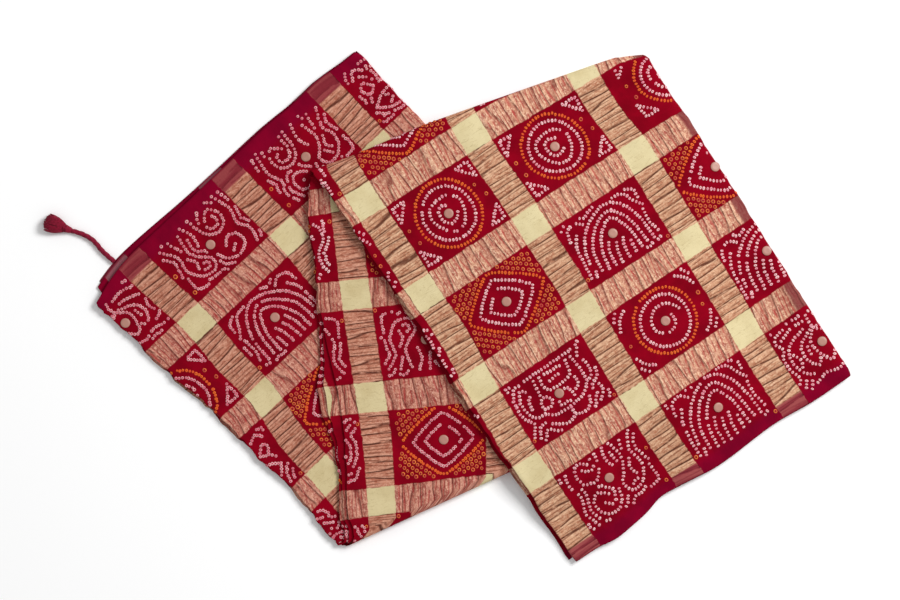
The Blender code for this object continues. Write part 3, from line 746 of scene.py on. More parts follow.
def clothMaterial():
    sizes, look = weaveSizes, clothLook
    material, tree, shader = newMaterial("bandhaniCloth", look["roughness"][0])
    shader.inputs["Specular IOR Level"].default_value = look["specular"]
    parts = makeNode(tree, "ShaderNodeSeparateXYZ",
                     {0: makeNode(tree, "ShaderNodeUVMap", uv_map="clothCells").outputs[0]})
    u, v = parts.outputs[0], parts.outputs[1]
    lengthBand, crossBand, toHem = bandMasks(tree, u, v)
    bands = calculate(tree, "MAXIMUM", lengthBand, crossBand)
    crossing = multiply(tree, lengthBand, crossBand)
    underTop = fade(tree, v, *sizes["underTop"])    # the bottom and middle panels, whose bands and crossings are made darker and redder

    # dyed cells, a little uneven
    mottle = cellNoise(tree, u, v, *look["mottle"], detail=3.0, roughness=0.55)
    uneven = fade(tree, mottle, 0.3, 0.7)
    cell = blendColours(tree, uneven, dyesAndShades["cellDeep"], dyesAndShades["cell"])

    # woven bands: gold along the cloth, rosier across it, and plain cream where they cross
    lengthColour, lengthHeight = bandLook(tree, v, u, sizes["cellMm"], bandLooks["length"], 2.0)
    crossColour, crossHeight = bandLook(tree, u, v, sizes["cellAcrossMm"], bandLooks["cross"], 31.0)
    # painted shade on the cross bands where they round the strip's right fold
    sideFold = fade(tree, distanceFrom(tree, u, sizes["sideFold"]), *sizes["sideFoldSpan"])
    crossColour = layOver(tree, crossColour, sideFold, look["sideFoldStrength"], dyesAndShades["foldShade"])
    crack = cellNoise(tree, u, v, *look["cracks"], 4.0, distortion=0.4)
    crackLine = fade(tree, distanceFrom(tree, crack, 0.5), look["crackWidth"], 0.0)
    cream = blendColours(tree, fade(tree, mottle, 0.35, 0.75), dyesAndShades["cream"], dyesAndShades["creamDeep"])
    cream = layOver(tree, cream, crackLine, look["crackStrength"], dyesAndShades["creamCrack"])
    cream = blendColours(tree, underTop, cream, dyesAndShades["creamRedder"], "MULTIPLY")
    colour = blendColours(tree, lengthBand, crossColour, lengthColour)
    colour = blendColours(tree, underTop, colour, dyesAndShades["redder"], "MULTIPLY")
    colour = blendColours(tree, bands, cell, colour)
    colour = blendColours(tree, crossing, colour, cream)

    # the hem's own dye, and the band ends that it has darkened
    nearHem = fade(tree, toHem, *[sizes["hemWidth"] + beyond for beyond in look["hemSoftness"]])
    hem = blendColours(tree, uneven, dyesAndShades["hem"], dyesAndShades["hemLight"])
    colour = layOver(tree, colour, nearHem, calculate(tree, "SUBTRACT", 1.0, lengthBand), hem)
    # painted shade: the dusky band ends darken where the band lies low, in its troughs and creases
    dusky = blendColours(tree, fade(tree, lengthHeight, -0.5, 0.3), dyesAndShades["duskyCreaseShade"], dyesAndShades["dusky"])
    dusky = blendColours(tree, underTop, dusky, dyesAndShades["redder"], "MULTIPLY")
    inner = fade(tree, distanceFrom(tree, u, sizes["innerMiddle"]), *sizes["innerSpan"])
    dusky = blendColours(tree, inner, dusky, dyesAndShades["duskyUnder"])
    duskyEnd = fade(tree, toHem, sizes["duskyWidth"] + look["duskySoftness"],
                    sizes["duskyWidth"] - look["duskySoftness"])
    colour = layOver(tree, colour, lengthBand, duskyEnd, dusky)
    colour = layOver(tree, colour, fade(tree, toHem, *look["edgeSpan"]), look["edgeStrength"], dyesAndShades["hem"])
    tree.links.new(colour, shader.inputs["Base Color"])

    # creases stand in the bands, and a plain weave runs over everything
    height = makeNode(tree, "ShaderNodeMix", {0: lengthBand, 2: crossHeight, 3: lengthHeight},
                      data_type="FLOAT").outputs[0]
    height = multiply(tree, height, calculate(tree, "SUBTRACT", bands, crossing))
    puckers = cellNoise(tree, u, v, *look["puckers"])
    height = calculate(tree, "MULTIPLY_ADD", puckers, look["puckerHeight"], height)
    threads = [calculate(tree, "SINE", multiply(tree, run, size * 2 * math.pi / sizes["thread"]))
               for run, size in ((u, sizes["cellAcrossMm"]), (v, sizes["cellMm"]))]
    height = calculate(tree, "MULTIPLY_ADD", multiply(tree, *threads), look["weaveHeight"], height)
    bump = makeNode(tree, "ShaderNodeBump", {**look["bump"], "Height": height})
    tree.links.new(bump.outputs[0], shader.inputs["Normal"])
    gloss = makeNode(tree, "ShaderNodeMapRange", {
        0: bands, 1: 0.0, 2: 1.0, 3: look["roughness"][0], 4: look["roughness"][1]}).outputs[0]
    tree.links.new(gloss, shader.inputs["Roughness"])
    return material


foldedCloth, clothPoints, clothCells, clothFaces = buildCloth(clothMaterial())


# Where a place in the cloth's cells lies on the sheet

def makeFinder(cells, faces):
    triangles = []
    for a, b, c, d in faces:
        triangles.append((a, b, c))
        triangles.append((a, c, d))
    tree = BVHTree.FromPolygons([(u, v, 0.0) for u, v in cells], triangles, all_triangles=True)
    return tree, triangles


cellFinder, cellTriangles = makeFinder(clothCells, clothFaces)


def onCloth(u, v):
    # the point of the sheet at u, v, its outer face's direction, and the way that u grows there
    hit, _, index, _ = cellFinder.ray_cast(Vector((u, v, 1.0)), Vector((0, 0, -1)))
    if hit is None:
        return None
    corners = cellTriangles[index]
    flat = [Vector((*clothCells[c], 0.0)) for c in corners]
    solid = [Vector(clothPoints[c]) for c in corners]
    point = barycentric_transform(hit, *flat, *solid)
    ahead = barycentric_transform(hit + Vector((0.01, 0, 0)), *flat, *solid) - point
    beside = barycentric_transform(hit + Vector((0, 0.01, 0)), *flat, *solid) - point
    outer = beside.cross(ahead).normalized()
    return point, outer, ahead.normalized()


# Tied dots. The motifs are drawn in a cell of the check, in millimetres from its middle.
dots = {
    "grain": {"spacing": 3.2, "half": (1.15, 1.6), "hole": 0.34},       # near-filled, from firstGrainRow on
    "ring": {"spacing": 2.85, "half": (1.4, 1.5), "hole": 0.46},        # open, in the rows of cells before it
    "faint": {"half": (1.75, 1.9), "hole": 0.6},        # thin ones, by themselves or in a lattice
    "firstGrainRow": 6,
    "orangeSpacing": 3.15,
    "rhombusSwell": 1.18,
    "latticePitch": 4.7,
    "latticeWay": (0.62, 0.785),    # out from a diamond's side
    "latticeFrom": 31.5,            # its first row's distance from the cell's middle
    "latticeBox": (6.0, 42.5, 6.0, 31.8),       # least and greatest x, then y
    "figureScale": 0.98,
    "fieldReach": (40.0, 29.5),     # how far from a cell's middle its dots go
    "chainGap": 5.5,                # gap between neighbouring chains
    "leastGap": 0.87,               # share of that gap that a chain keeps at least
    "longestChain": 22,
    "chainSeeds": 420,
    "bends": np.radians(np.arange(-48, 49, 12)),        # ways in which a chain may bend at each dot
    "stiffness": 0.7,
    "uReach": (-0.62, 5.4),         # the cloth's u that shows
    "bandRoom": 0.018,              # how far outside a band the nearest dots lie, in cells
    "hemRoom": 7.0,                 # millimetres inside a hem
    "discRoom": 5.8,                # radius that the sewn disc keeps free
    "tipMiddle": (-142.0, 117.0),   # where the top panel's tip shades what lies under it, kept free of dots
    "tipRoom": 7.5,
    "tipEnd": 7.95,                 # v up to which it does so
    "topStart": 7.7,                # v from which a place lies on the top panel
    "middleStart": 3.9,             # v from which it lies on the middle one
    "coverMargin": 8.0,             # how far under a panel's edge dots go on
    "steepest": 0.25,               # least upward share of the cloth's direction under a dot
    "discSteepest": 0.1,
    "sides": 7,
    "rimHeight": 0.75,              # shares of the height, at the hole's edge and its middle
    "heartHeight": 0.3,
    "height": 0.45,
    "lift": 0.12,
    "jitter": 0.22,
    "sizeSpread": 0.08,
    "missing": 0.015,
}

# Chains of the figures, each a smooth line of dots
curls = {
    "arches": [
        [(-34, 16), (-31, 1), (-22, -13), (-8, -23), (7, -27), (18, -22), (26, -10), (30, 5), (31, 24)],
        [(-27, 24), (-25, 6), (-17, -7), (-5, -17), (7, -20), (15, -13), (21, 0), (24, 23)],
        [(-20, 27), (-18, 11), (-11, -3), (-1, -12), (7, -13), (12, -5), (16, 8), (17, 25)],
        [(-13, 27), (-12, 14), (-8, 5)], [(-6, 28), (-5, 17), (-2, 9)], [(2, 27), (3, 16), (6, 8)],
        [(10, 26), (11, 15)], [(-39, 25), (-38, 8), (-36, -6), (-30, -16)], [(-34, 27), (-32, 22)],
        [(-38, -14), (-35, -24), (-26, -27), (-19, -22)], [(17, -28), (27, -26), (33, -15), (38, -8)],
        [(31, -28), (38, -24), (38, -16)], [(36, -4), (35, 8), (38, 20)], [(37, 27), (33, 28)],
    ],
    "hooks": [
        [(-38, -24), (-30, -11), (-33, 4), (-26, 18), (-13, 21), (-8, 11), (-15, 2), (-20, -9), (-16, -24)],
        [(-27, -25), (-24, -14)], [(-10, -27), (-6, -16), (-9, -7)],
        [(0, -27), (3, -12), (12, -4), (23, -7), (26, -17), (19, -24), (11, -19)],
        [(-2, 12), (2, 22), (12, 27), (23, 22), (25, 11), (17, 5), (9, 11)], [(16, 16), (11, 20)],
        [(32, -28), (36, -13), (32, 1), (37, 14), (33, 28)], [(-38, 10), (-38, 25), (-28, 28)],
        [(-24, 10), (-21, 3), (-25, -4)],
    ],
    "elephant": [
        [(-21, 9), (-12, 15), (2, 16), (18, 13), (27, 5), (28, -8), (26, -22)],
        [(20, -22), (18, -10), (8, -7), (-4, -7), (-9, -12), (-9, -22)],
        [(-15, -22), (-16, -8)], [(-21, 9), (-30, 7), (-35, -2), (-35, -13), (-31, -21), (-26, -18)],
        [(-29, -1), (-28, -9), (-25, -12)], [(-19, 5), (-12, 6), (-9, 0), (-14, -5), (-19, -2), (-19, 5)],
        [(28, 5), (34, 2), (36, -6), (35, -13)], [(-4, 10), (-3, 0), (9, 0), (11, 10), (4, 11), (-4, 10)],
        [(3, 17), (2, 25), (-6, 28), (-14, 25), (-20, 20)], [(3, 25), (12, 28), (20, 24), (22, 18)],
        [(15, 5), (20, 2), (20, -5)], [(-36, 26), (-31, 17), (-25, 16)], [(30, 27), (36, 21), (36, 13)],
        [(-2, -14), (5, -15), (12, -15)], [(-22, -27), (-5, -27), (12, -27), (30, -27)],
    ],
    "peacock": [
        [(-8, -8), (-1, 2), (-4, 13), (-12, 15), (-17, 7), (-15, -4), (-8, -8)],
        [(-12, 15), (-15, 23), (-23, 27), (-29, 22), (-34, 21)], [(-18, 19), (-24, 21)],
        [(0, -3), (12, -1), (25, 1), (36, 6)], [(-1, 4), (10, 8), (22, 12), (34, 16)],
        [(-4, 12), (6, 17), (17, 22), (28, 27)], [(-4, -9), (8, -9), (22, -10), (36, -5)],
        [(-7, -13), (6, -17), (20, -19), (35, -15)], [(-8, -17), (4, -24), (18, -27), (33, -25)],
        [(-14, -8), (-17, -17), (-23, -21)], [(-10, -11), (-10, -21), (-4, -26)],
        [(-36, 13), (-28, 14), (-24, 7), (-28, 0), (-36, -2)],
        [(-37, -10), (-30, -15), (-23, -12)], [(-37, -20), (-31, -25), (-21, -27)],
        [(-4, 20), (-2, 26), (6, 27)], [(-12, 3), (-8, 5), (-8, 9)],
    ],
    "lotus": [
        [(0, -27), (0, -15), (-9, -5), (-7, 8), (0, 17), (7, 8), (9, -5), (0, -15)],
        [(-4, -14), (-18, -7), (-21, 5), (-14, 15), (-9, 11)],
        [(4, -14), (18, -7), (21, 5), (14, 15), (9, 11)],
        [(-9, -18), (-28, -12), (-34, 1), (-29, 14), (-22, 18)],
        [(9, -18), (28, -12), (34, 1), (29, 14), (22, 18)], [(-6, -24), (-18, -24), (-32, -20)],
        [(6, -24), (18, -24), (32, -20)], [(-24, 26), (-12, 23), (0, 26), (12, 23), (24, 26)],
        [(-29, -4), (-26, 3), (-28, 9)], [(29, -4), (26, 3), (28, 9)], [(-36, 24), (-32, 20)],
        [(36, 24), (32, 20)], [(-14, -3), (-15, 4)], [(14, -3), (15, 4)],
    ],
    "vine": [
        [(-36, -16), (-33, -26), (-22, -26), (-17, -16), (-19, -3), (-27, 5), (-27, 17), (-18, 25), (-9, 19),
         (-9, 6), (-4, -8), (1, -21), (11, -26), (19, -18), (17, -5), (9, 7), (12, 20), (22, 26), (32, 20),
         (35, 7), (29, -5), (31, -18), (37, -24)],
        [(-27, -18), (-26, -9), (-34, -4), (-36, 6)], [(-18, 16), (-17, 7), (-11, -4), (-10, -16), (-6, -26)],
        [(-36, 15), (-33, 24), (-26, 27)], [(10, -17), (9, -8), (2, 4), (2, 16), (6, 26)],
        [(22, 17), (26, 8), (20, -1), (24, -12), (24, -24)], [(-3, 14), (-2, 26)], [(36, 27), (37, 15)],
    ],
    "fish": [
        [(-36, 12), (-24, 22), (-8, 23), (6, 13), (-6, 5), (-22, 4), (-36, 12)],
        [(6, 13), (17, 22), (16, 13), (18, 5), (6, 13)], [(-22, 18), (-17, 13), (-22, 8)],
        [(-13, 19), (-8, 13), (-14, 8)], [(-4, 17), (-1, 13), (-5, 9)],
        [(36, -12), (24, -4), (8, -4), (-6, -13), (6, -22), (22, -22), (36, -12)],
        [(-6, -13), (-17, -5), (-16, -13), (-18, -22), (-6, -13)], [(22, -8), (17, -13), (22, -18)],
        [(13, -8), (8, -13), (14, -18)], [(4, -9), (1, -13), (5, -17)], [(24, 24), (30, 17), (36, 24)],
        [(26, 13), (30, 6), (35, 11)], [(-25, -6), (-31, -2), (-36, -8), (-31, -14), (-25, -6)],
        [(-36, -20), (-30, -26), (-23, -22)], [(-32, -2), (-36, 4)],
    ],
}


def smoothChain(points, spacing):
    return evenly(curveThrough(points, 12 * len(points)), spacing)


def ringOf(radius, spacing, start=0.0, end=360.0, wobble=0.0):
    angles = np.radians(np.linspace(start, end, 90))
    away = radius * (1 + wobble * np.sin(3 * angles + radius))
    return evenly(np.column_stack([away * np.cos(angles), away * np.sin(angles)]), spacing)[:-1]


def rhombusOf(wide, tall, spacing, start=0.0, end=360.0):
    # a diamond whose sides swell a little
    angles = np.radians(np.linspace(start, end, 120))
    c, s = np.cos(angles), np.sin(angles)
    swell = dots["rhombusSwell"]
    away = (np.abs(c / wide) ** swell + np.abs(s / tall) ** swell) ** (-1 / swell)
    return evenly(np.column_stack([away * c, away * s]), spacing)[:-1]


def cornersOf(chain):
    return [np.array(chain, float) * (sideX, sideY) for sideX in (-1, 1) for sideY in (-1, 1)]


def roundMotif(spacing, turned):
    found = [("orange", ringOf(30.0, dots["orangeSpacing"], wobble=0.012)),
             ("white", ringOf(23.8, spacing, wobble=0.015)),
             ("white", ringOf(15.8, spacing, turned, 348 + turned, 0.07)),
             ("white", ringOf(8.4, spacing, 60 + turned, 345 + turned, 0.06))]
    for corner in cornersOf([(41, 15), (40.5, 29), (28, 28.5), (41, 15)]):
        found.append(("white", evenly(corner[:3], spacing)))
        found.append(("white", evenly(corner[2:], spacing)[1:-1]))
    found.append(("faint", np.array([(39, 3), (-39, -5), (-37, 8), (35, -9)], float)))
    return found


def swirlMotif(spacing, turned):
    found = [("orange", ringOf(29.0, dots["orangeSpacing"], wobble=0.012)),
             ("white", ringOf(23.0, spacing, wobble=0.02))]
    swirl = [((8 + 1.35 * t) * math.cos(t + turned), (8 + 1.2 * t) * math.sin(t + turned))
             for t in np.linspace(0, 6.4, 40)]
    found.append(("white", evenly(np.array(swirl), spacing)))
    for chain in cornersOf([(28, 28), (35, 23), (40, 14)]) + cornersOf([(36, 30), (41, 24)]):
        found.append(("white", smoothChain(chain, spacing)))
    found.append(("faint", np.array([(-39, 1), (39, -4), (37, 6)], float)))
    return found


def diamondMotif(spacing, turned):
    found = [("orange", rhombusOf(40, 31.5, dots["orangeSpacing"])), ("white", rhombusOf(28.5, 24, spacing)),
             ("white", rhombusOf(17.5, 14.5, spacing, turned, 330 + turned))]
    # rows of thin rings in each corner, along the diamond's sides
    lattice = []
    outX, outY = dots["latticeWay"]
    leastX, mostX, leastY, mostY = dots["latticeBox"]
    pitch = dots["latticePitch"]
    for n, away in enumerate(np.arange(dots["latticeFrom"], 51, pitch)):
        for run in np.arange(-30, 31, pitch) + pitch / 2 * (n % 2):
            x, y = outX * away + outY * run, outY * away - outX * run
            if leastX < x < mostX and leastY < y < mostY:
                lattice.append((x, y))
    return found + [("lattice", corner) for corner in cornersOf(lattice)]


def figureMotif(name, mirrored, spacing, chance):
    side = np.array((-1.0 if mirrored else 1.0, 1.0)) * dots["figureScale"]
    found = [("white", smoothChain(np.array(line, float) * side, spacing)) for line in curls[name]]
    fillGaps(found, spacing, chance)
    outermost = [(-43, 0), (43, -3), (14, 32.5), (-20, -32.5), (42, 30), (-42, 24)]
    found.append(("faint", np.array(outermost, float)))
    return found


def fillGaps(found, spacing, chance):
    # adds chains that run along their neighbours, each begun beside the last, until the cell is full
    reach = np.array(dots["fieldReach"])
    gap, bends = dots["chainGap"], dots["bends"]
    taken = np.concatenate([places for _, places in found] + [ringOf(dots["discRoom"] - 3.0, 2.0)])
    seeds = chance.uniform(-reach, reach, (dots["chainSeeds"], 2))
    near = np.linalg.norm(seeds[:, None] - taken, axis=2).min(1)
    while (near >= gap).any():
        pick = int(np.argmin(np.where(near >= gap, near, np.inf)))
        near[pick] = 0
        chain = [seeds[pick]]
        beside = taken[np.argmin(np.linalg.norm(taken - chain[0], axis=1))] - chain[0]
        heading = math.atan2(beside[1], beside[0]) + math.pi / 2
        for way in (heading, heading + math.pi):
            while len(chain) < dots["longestChain"]:
                options = chain[-1] + spacing * np.column_stack([np.cos(way + bends), np.sin(way + bends)])
                others = np.concatenate([taken, np.array(chain[:-2]).reshape(-1, 2)])
                away = np.linalg.norm(options[:, None] - others, axis=2).min(1)
                fits = (np.abs(options) <= reach).all(1) & (away > dots["leastGap"] * gap)
                if not fits.any():
                    break
                cost = np.abs(away - gap) + dots["stiffness"] * np.abs(bends)
                best = int(np.argmin(np.where(fits, cost, np.inf)))
                way += bends[best]
                chain.append(options[best])
            chain.reverse()
        if len(chain) > 2:
            found.append(("white", np.array(chain)))
            taken = np.concatenate([taken, chain])
            near = np.minimum(near, np.linalg.norm(seeds[:, None] - np.array(chain), axis=2).min(1))


# Which motif each cell holds, by its whole numbers of u and v. Cells not listed take turns.
cellMotifs = {
    (0, 7): "diamond", (1, 7): "vine", (0, 8): "round", (1, 8): "round", (2, 8): "round",
    (0, 9): "diamond", (1, 9): "arches", (2, 9): "diamond", (0, 10): "elephant", (1, 10): "swirl",
    (2, 10): "arches", (0, 11): "hooks", (1, 11): "arches", (2, 11): "lotus",
    (-1, 0): "lotus", (0, 0): "hooks", (1, 0): "hooks", (2, 0): "fish", (-1, 1): "round",
    (0, 1): "arches", (1, 1): "vine", (-1, 2): "fish", (0, 2): "diamond", (1, 2): "round",
    (5, 6): "vine", (5, 5): "hooks", (5, 4): "lotus", (5, 3): "vine", (4, 6): "diamond", (4, 5): "hooks",
    (4, 4): "diamond", (4, 3): "peacock",
}
turns = ["vine", "round", "elephant", "diamond", "fish", "swirl", "lotus", "peacock"]


# How far a cell's motif lies from its middle, in cells, where the cloth is drawn out of true
motifShifts = {
    (-1, 9): (0.025, 0.0), (-1, 10): (0.025, 0.0), (-1, 11): (0.02, 0.0), (-1, 0): (0.12, 0.0),
    (0, 11): (-0.02, -0.085), (1, 11): (0.0, -0.045), (4, 4): (-0.035, 0.03), (0, 0): (0.02, 0.0),
    (1, 0): (0.03, 0.0), (2, 8): (0.085, -0.09), (2, 9): (-0.035, 0.0), (2, 10): (-0.035, 0.0),
    (2, 11): (-0.03, 0.0),
}


def motifFor(column, row, spacing):
    name = cellMotifs.get((column, row), turns[(3 * column + 5 * row) % len(turns)])
    if name == "round":
        return roundMotif(spacing, 25 * column + 40 * row)
    if name == "swirl":
        return swirlMotif(spacing, 0.6 * row)
    if name == "diamond":
        return diamondMotif(spacing, 30 * row)
    chance = np.random.default_rng(100 + 12 * (column + 2) + row)
    return figureMotif(name, (column + row) % 2 == 1, spacing, chance)


topOutline, middleOutline = outlineOf("top"), outlineOf("middle")


def coveredFromAbove(point, v):
    # whether a place on the bottom or middle panel lies well under a panel above it
    plan = np.array([(point.x / mm + cloth["middlePoint"][0], point.y / mm + cloth["middlePoint"][1])])
    if v < dots["tipEnd"] and np.linalg.norm(plan[0] - dots["tipMiddle"]) < dots["tipRoom"]:
        return True
    if v > dots["topStart"]:
        return False
    for outline in [topOutline] if v > dots["middleStart"] else [topOutline, middleOutline]:
        away = distanceTo(plan, outline, np.roll(outline, -1, axis=0)).min()
        if insideOf(plan, outline)[0] and away > dots["coverMargin"]:
            return True
    return False


def roundRings(place, outer, ahead, halves, profile, sizes):
    # rings of points round a place on the cloth, each of a size and at a share of the height
    beside = outer.cross(ahead)
    points = []
    for size, up in profile:
        for n in range(sizes["sides"]):
            angle = 2 * math.pi * n / sizes["sides"]
            offset = (ahead * (math.cos(angle) * halves[0] * size)
                      + beside * (math.sin(angle) * halves[1] * size))
            points.append(place + (offset + outer * (sizes["lift"] + up * sizes["height"])) * mm)
    return points


def dotMesh(name, placed, hole, materials):
    # one joined mesh of raised rings, each a sloped rim round a sunk middle
    sides = dots["sides"]
    profile = ((1.0, 0.0), (0.5 + 0.5 * hole, 1.0), (hole, dots["rimHeight"]))
    points, faces, faceMaterials = [], [], []
    for place, outer, ahead, halves in placed:
        base = len(points)
        inner = base + 2 * sides
        points += roundRings(place, outer, ahead, halves, profile, dots)
        points.append(place + outer * ((dots["lift"] + dots["heartHeight"] * dots["height"]) * mm))
        faces += gridFaces(3, sides, closed=True, base=base)
        faces += [(inner + n, inner + (n + 1) % sides, inner + sides) for n in range(sides)]
        faceMaterials += [0] * (2 * sides) + [1] * sides
    piece = addPiece(name, points, faces, materials)
    piece.data.polygons.foreach_set("material_index", faceMaterials)
    print(name, len(placed), "dots,", sides * 5 * len(placed), "triangles")
    return piece


def onBandOrHem(u, v):
    room, sizes = dots["bandRoom"], weaveSizes
    hemRoom = dots["hemRoom"] / sizes["cellMm"]
    return (abs(u - round(u)) < sizes["lengthHalf"] + room or abs(v - round(v)) < sizes["crossHalf"] + room
            or not sizes["firstHem"] + hemRoom < v < sizes["lastHem"] - hemRoom)


def placeDots():
    chance = np.random.default_rng(11)
    placed = {"whiteGrains": [], "whiteRings": [], "orangeDots": [], "faintRings": [], "sewnDiscs": []}
    for column in range(-2, 6):
        for row in range(0, 12):
            placeCell(column, row, chance, placed)
    return placed


def placeCell(column, row, chance, placed):
    shift = motifShifts.get((column, row), (0, 0))
    middleU, middleV = column + 0.5 + shift[0], row + 0.5 + shift[1]
    grains = row >= dots["firstGrainRow"]
    build = dots["grain" if grains else "ring"]
    groups = {"white": "whiteGrains" if grains else "whiteRings", "orange": "orangeDots",
              "faint": "faintRings", "lattice": "faintRings"}
    for kind, places in motifFor(column, row, build["spacing"]):
        chained = kind in ("white", "orange") and len(places) > 1
        ways = np.gradient(places, axis=0) if chained else None
        half = (build if chained else dots["faint"])["half"]
        for n, (x, y) in enumerate(places):
            shiftX, shiftY = chance.normal(0, dots["jitter"], 2)
            skip, size = chance.random(), chance.normal(1, dots["sizeSpread"])
            if skip < dots["missing"] or math.hypot(x, y) < dots["discRoom"]:
                continue
            u = middleU + (x + shiftX) / weaveSizes["cellAcrossMm"]
            v = middleV + (y + shiftY) / weaveSizes["cellMm"]
            if not dots["uReach"][0] < u < dots["uReach"][1] or onBandOrHem(u, v):
                continue
            found = onCloth(u, v)
            if found is None:
                continue
            place, outer, ahead = found
            if outer.z < dots["steepest"] or coveredFromAbove(place, v):
                continue
            if chained:
                ahead = (ahead * float(ways[n][0]) - outer.cross(ahead) * float(ways[n][1])).normalized()
            placed[groups[kind]].append((place, outer, ahead, (half[0] * size, half[1] * size)))
    disc = onCloth(middleU, middleV)
    if disc and disc[1].z > dots["discSteepest"] and not coveredFromAbove(disc[0], middleV):
        placed["sewnDiscs"].append(disc)


# The two colours that each material mixes: four for the dots' rims, then three for their middles
dotDyes = {
    "tiedDotWhite": [srgb(238, 198, 198), srgb(216, 132, 148)],
    "tiedRingWhite": [srgb(226, 168, 172), srgb(200, 112, 126)],
    "tiedDotOrange": [srgb(226, 112, 34), srgb(204, 66, 30)],
    "tiedDotFaint": [srgb(222, 124, 52), srgb(184, 70, 56)],
    "tiedDotHeart": [srgb(160, 14, 38), srgb(196, 70, 88)],
    "tiedDotOrangeHeart": [srgb(176, 30, 24), srgb(214, 96, 40)],
    "tiedDotDarkHeart": [srgb(132, 0, 22), srgb(146, 14, 26)],
}
dotMaterials = {
    name: mottledMaterial(name, {"roughness": 0.7, "specular": 0.2, "noise": (260.0, 2.0, 0.5),
                                 "span": (0.35, 0.68), "colours": colours})[0]
    for name, colours in dotDyes.items()
}
placedDots = placeDots()
whiteGrains, whiteRings, orangeDots, faintRings = [
    dotMesh(name, placedDots[name], dots[kind]["hole"], [dotMaterials[rim], dotMaterials[heart]])
    for name, kind, rim, heart in (
        ("whiteGrains", "grain", "tiedDotWhite", "tiedDotHeart"),
        ("whiteRings", "ring", "tiedRingWhite", "tiedDotHeart"),
        ("orangeDots", "ring", "tiedDotOrange", "tiedDotOrangeHeart"),
        ("faintRings", "faint", "tiedDotFaint", "tiedDotDarkHeart"))
]


# Flat discs sewn at the middles of the cells
discs = {
    "radius": 4.3,
    "height": 0.6,
    "lift": 0.25,
    "sides": 24,
    "profile": [(1.0, 0.0), (1.0, 0.6), (0.93, 1.0), (0.5, 0.96), (0.12, 0.9)],     # sizes and heights
    "look": {"roughness": 0.45, "specular": 0.5, "noise": (120.0, 2.0, 0.5),
             "colours": [srgb(160, 108, 94), srgb(184, 136, 120)]},
}


def buildDiscs(placed, material):
    points, faces = [], []
    sides, rings = discs["sides"], len(discs["profile"])
    for place, outer, ahead in placed:
        base = len(points)
        points += roundRings(place, outer, ahead, (discs["radius"], discs["radius"]), discs["profile"], discs)
        faces += gridFaces(rings, sides, closed=True, base=base)
        faces.append(tuple(range(base + (rings - 1) * sides, base + rings * sides)))
    print("discs:", len(placed))
    return addPiece("sewnDiscs", points, faces, [material])


sewnDiscs = buildDiscs(placedDots["sewnDiscs"], mottledMaterial("sewnDisc", discs["look"])[0])


# Twisted cord and tassel at the hem's left corner, on the route that the solids give
tasselSizes = {
    "route": [(-321.6, 40.4), (-327.6, 45.6), (-333.2, 50.8), (-337.4, 56.0), (-342.4, 60.9),
              (-348.8, 64.6), (-355.0, 66.9), (-360.2, 68.4)],
    "radius": 2.3,
    "lift": 0.1,
    "step": 0.7,            # millimetres of cord between two rings of points
    "plies": 3,
    "plyDepth": 0.26,
    "twist": 0.55,          # turns of the plies for each centimetre
    "sides": 24,
    "headLength": 8.0,
    "headRadius": 3.7,
    "headSides": 32,
    "headRibs": 8,
    "head": [(0.0, 0.6), (0.12, 0.68), (0.3, 0.78), (0.48, 0.86), (0.58, 0.88), (0.62, 0.98), (0.67, 0.88),
             (0.72, 0.99), (0.77, 0.88), (0.82, 0.99), (0.87, 0.89), (0.92, 0.98), (1.0, 0.95)],
    # the skirt's rings of strands: count, half width and half height at the tips, and length
    "rings": [(14, 2.4, 1.5, 16.6), (30, 5.2, 2.9, 17.7), (58, 7.9, 4.3, 17.2)],
    "roundEnd": 2.4,        # how much shorter the outermost strands are
    "turn": -4.5,           # degrees by which the tassel leaves the cord's line
    "strandRadius": 0.5,
    "strandRoot": 0.7,      # where strands begin, as a share of the head's length
    "rootSpread": 0.36,     # and how far apart, as a share of their tips' spread
    "strandSteps": 6,
    "strandSides": 4,
    "lengthSpread": 0.45,
    "swaySpread": 0.35,
    "rest": 4.9,            # height of the skirt's middle over the floor
}
yarnLooks = {
    "cordYarn": {"along": 900.0, "colours": [srgb(102, 2, 30), srgb(140, 12, 48)]},
    "tasselYarn": {"along": 700.0, "colours": [srgb(106, 4, 30), srgb(142, 14, 48)]},
}


def worldPoint(plan, up):
    middle = cloth["middlePoint"]
    return Vector(((plan[0] - middle[0]) * mm, (plan[1] - middle[1]) * mm, up * mm))


def buildCord(material):
    sizes = tasselSizes
    line = evenly(curveThrough(sizes["route"], 140), sizes["step"])
    path = [worldPoint(p, sizes["radius"] + sizes["lift"]) for p in line]
    points = []
    for n, centre in enumerate(path):
        ahead = (path[min(n + 1, len(path) - 1)] - path[max(n - 1, 0)]).normalized()
        side = Vector((-ahead.y, ahead.x, 0))
        turn = 2 * math.pi * sizes["twist"] * n * sizes["step"] / 10
        for k in range(sizes["sides"]):
            angle = 2 * math.pi * k / sizes["sides"]
            ply = abs(math.cos(sizes["plies"] * (angle - turn) / 2))
            radius = sizes["radius"] * (1 - sizes["plyDepth"] * (1 - ply ** 0.7))
            offset = side * math.cos(angle) + Vector((0, 0, 1)) * math.sin(angle)
            points.append(centre + offset * (radius * mm))
    piece = addPiece("twistedCord", points, tubeFaces(len(path), sizes["sides"]), [material])
    length = sum((b - a).length for a, b in zip(path, path[1:]))
    return piece, path, length


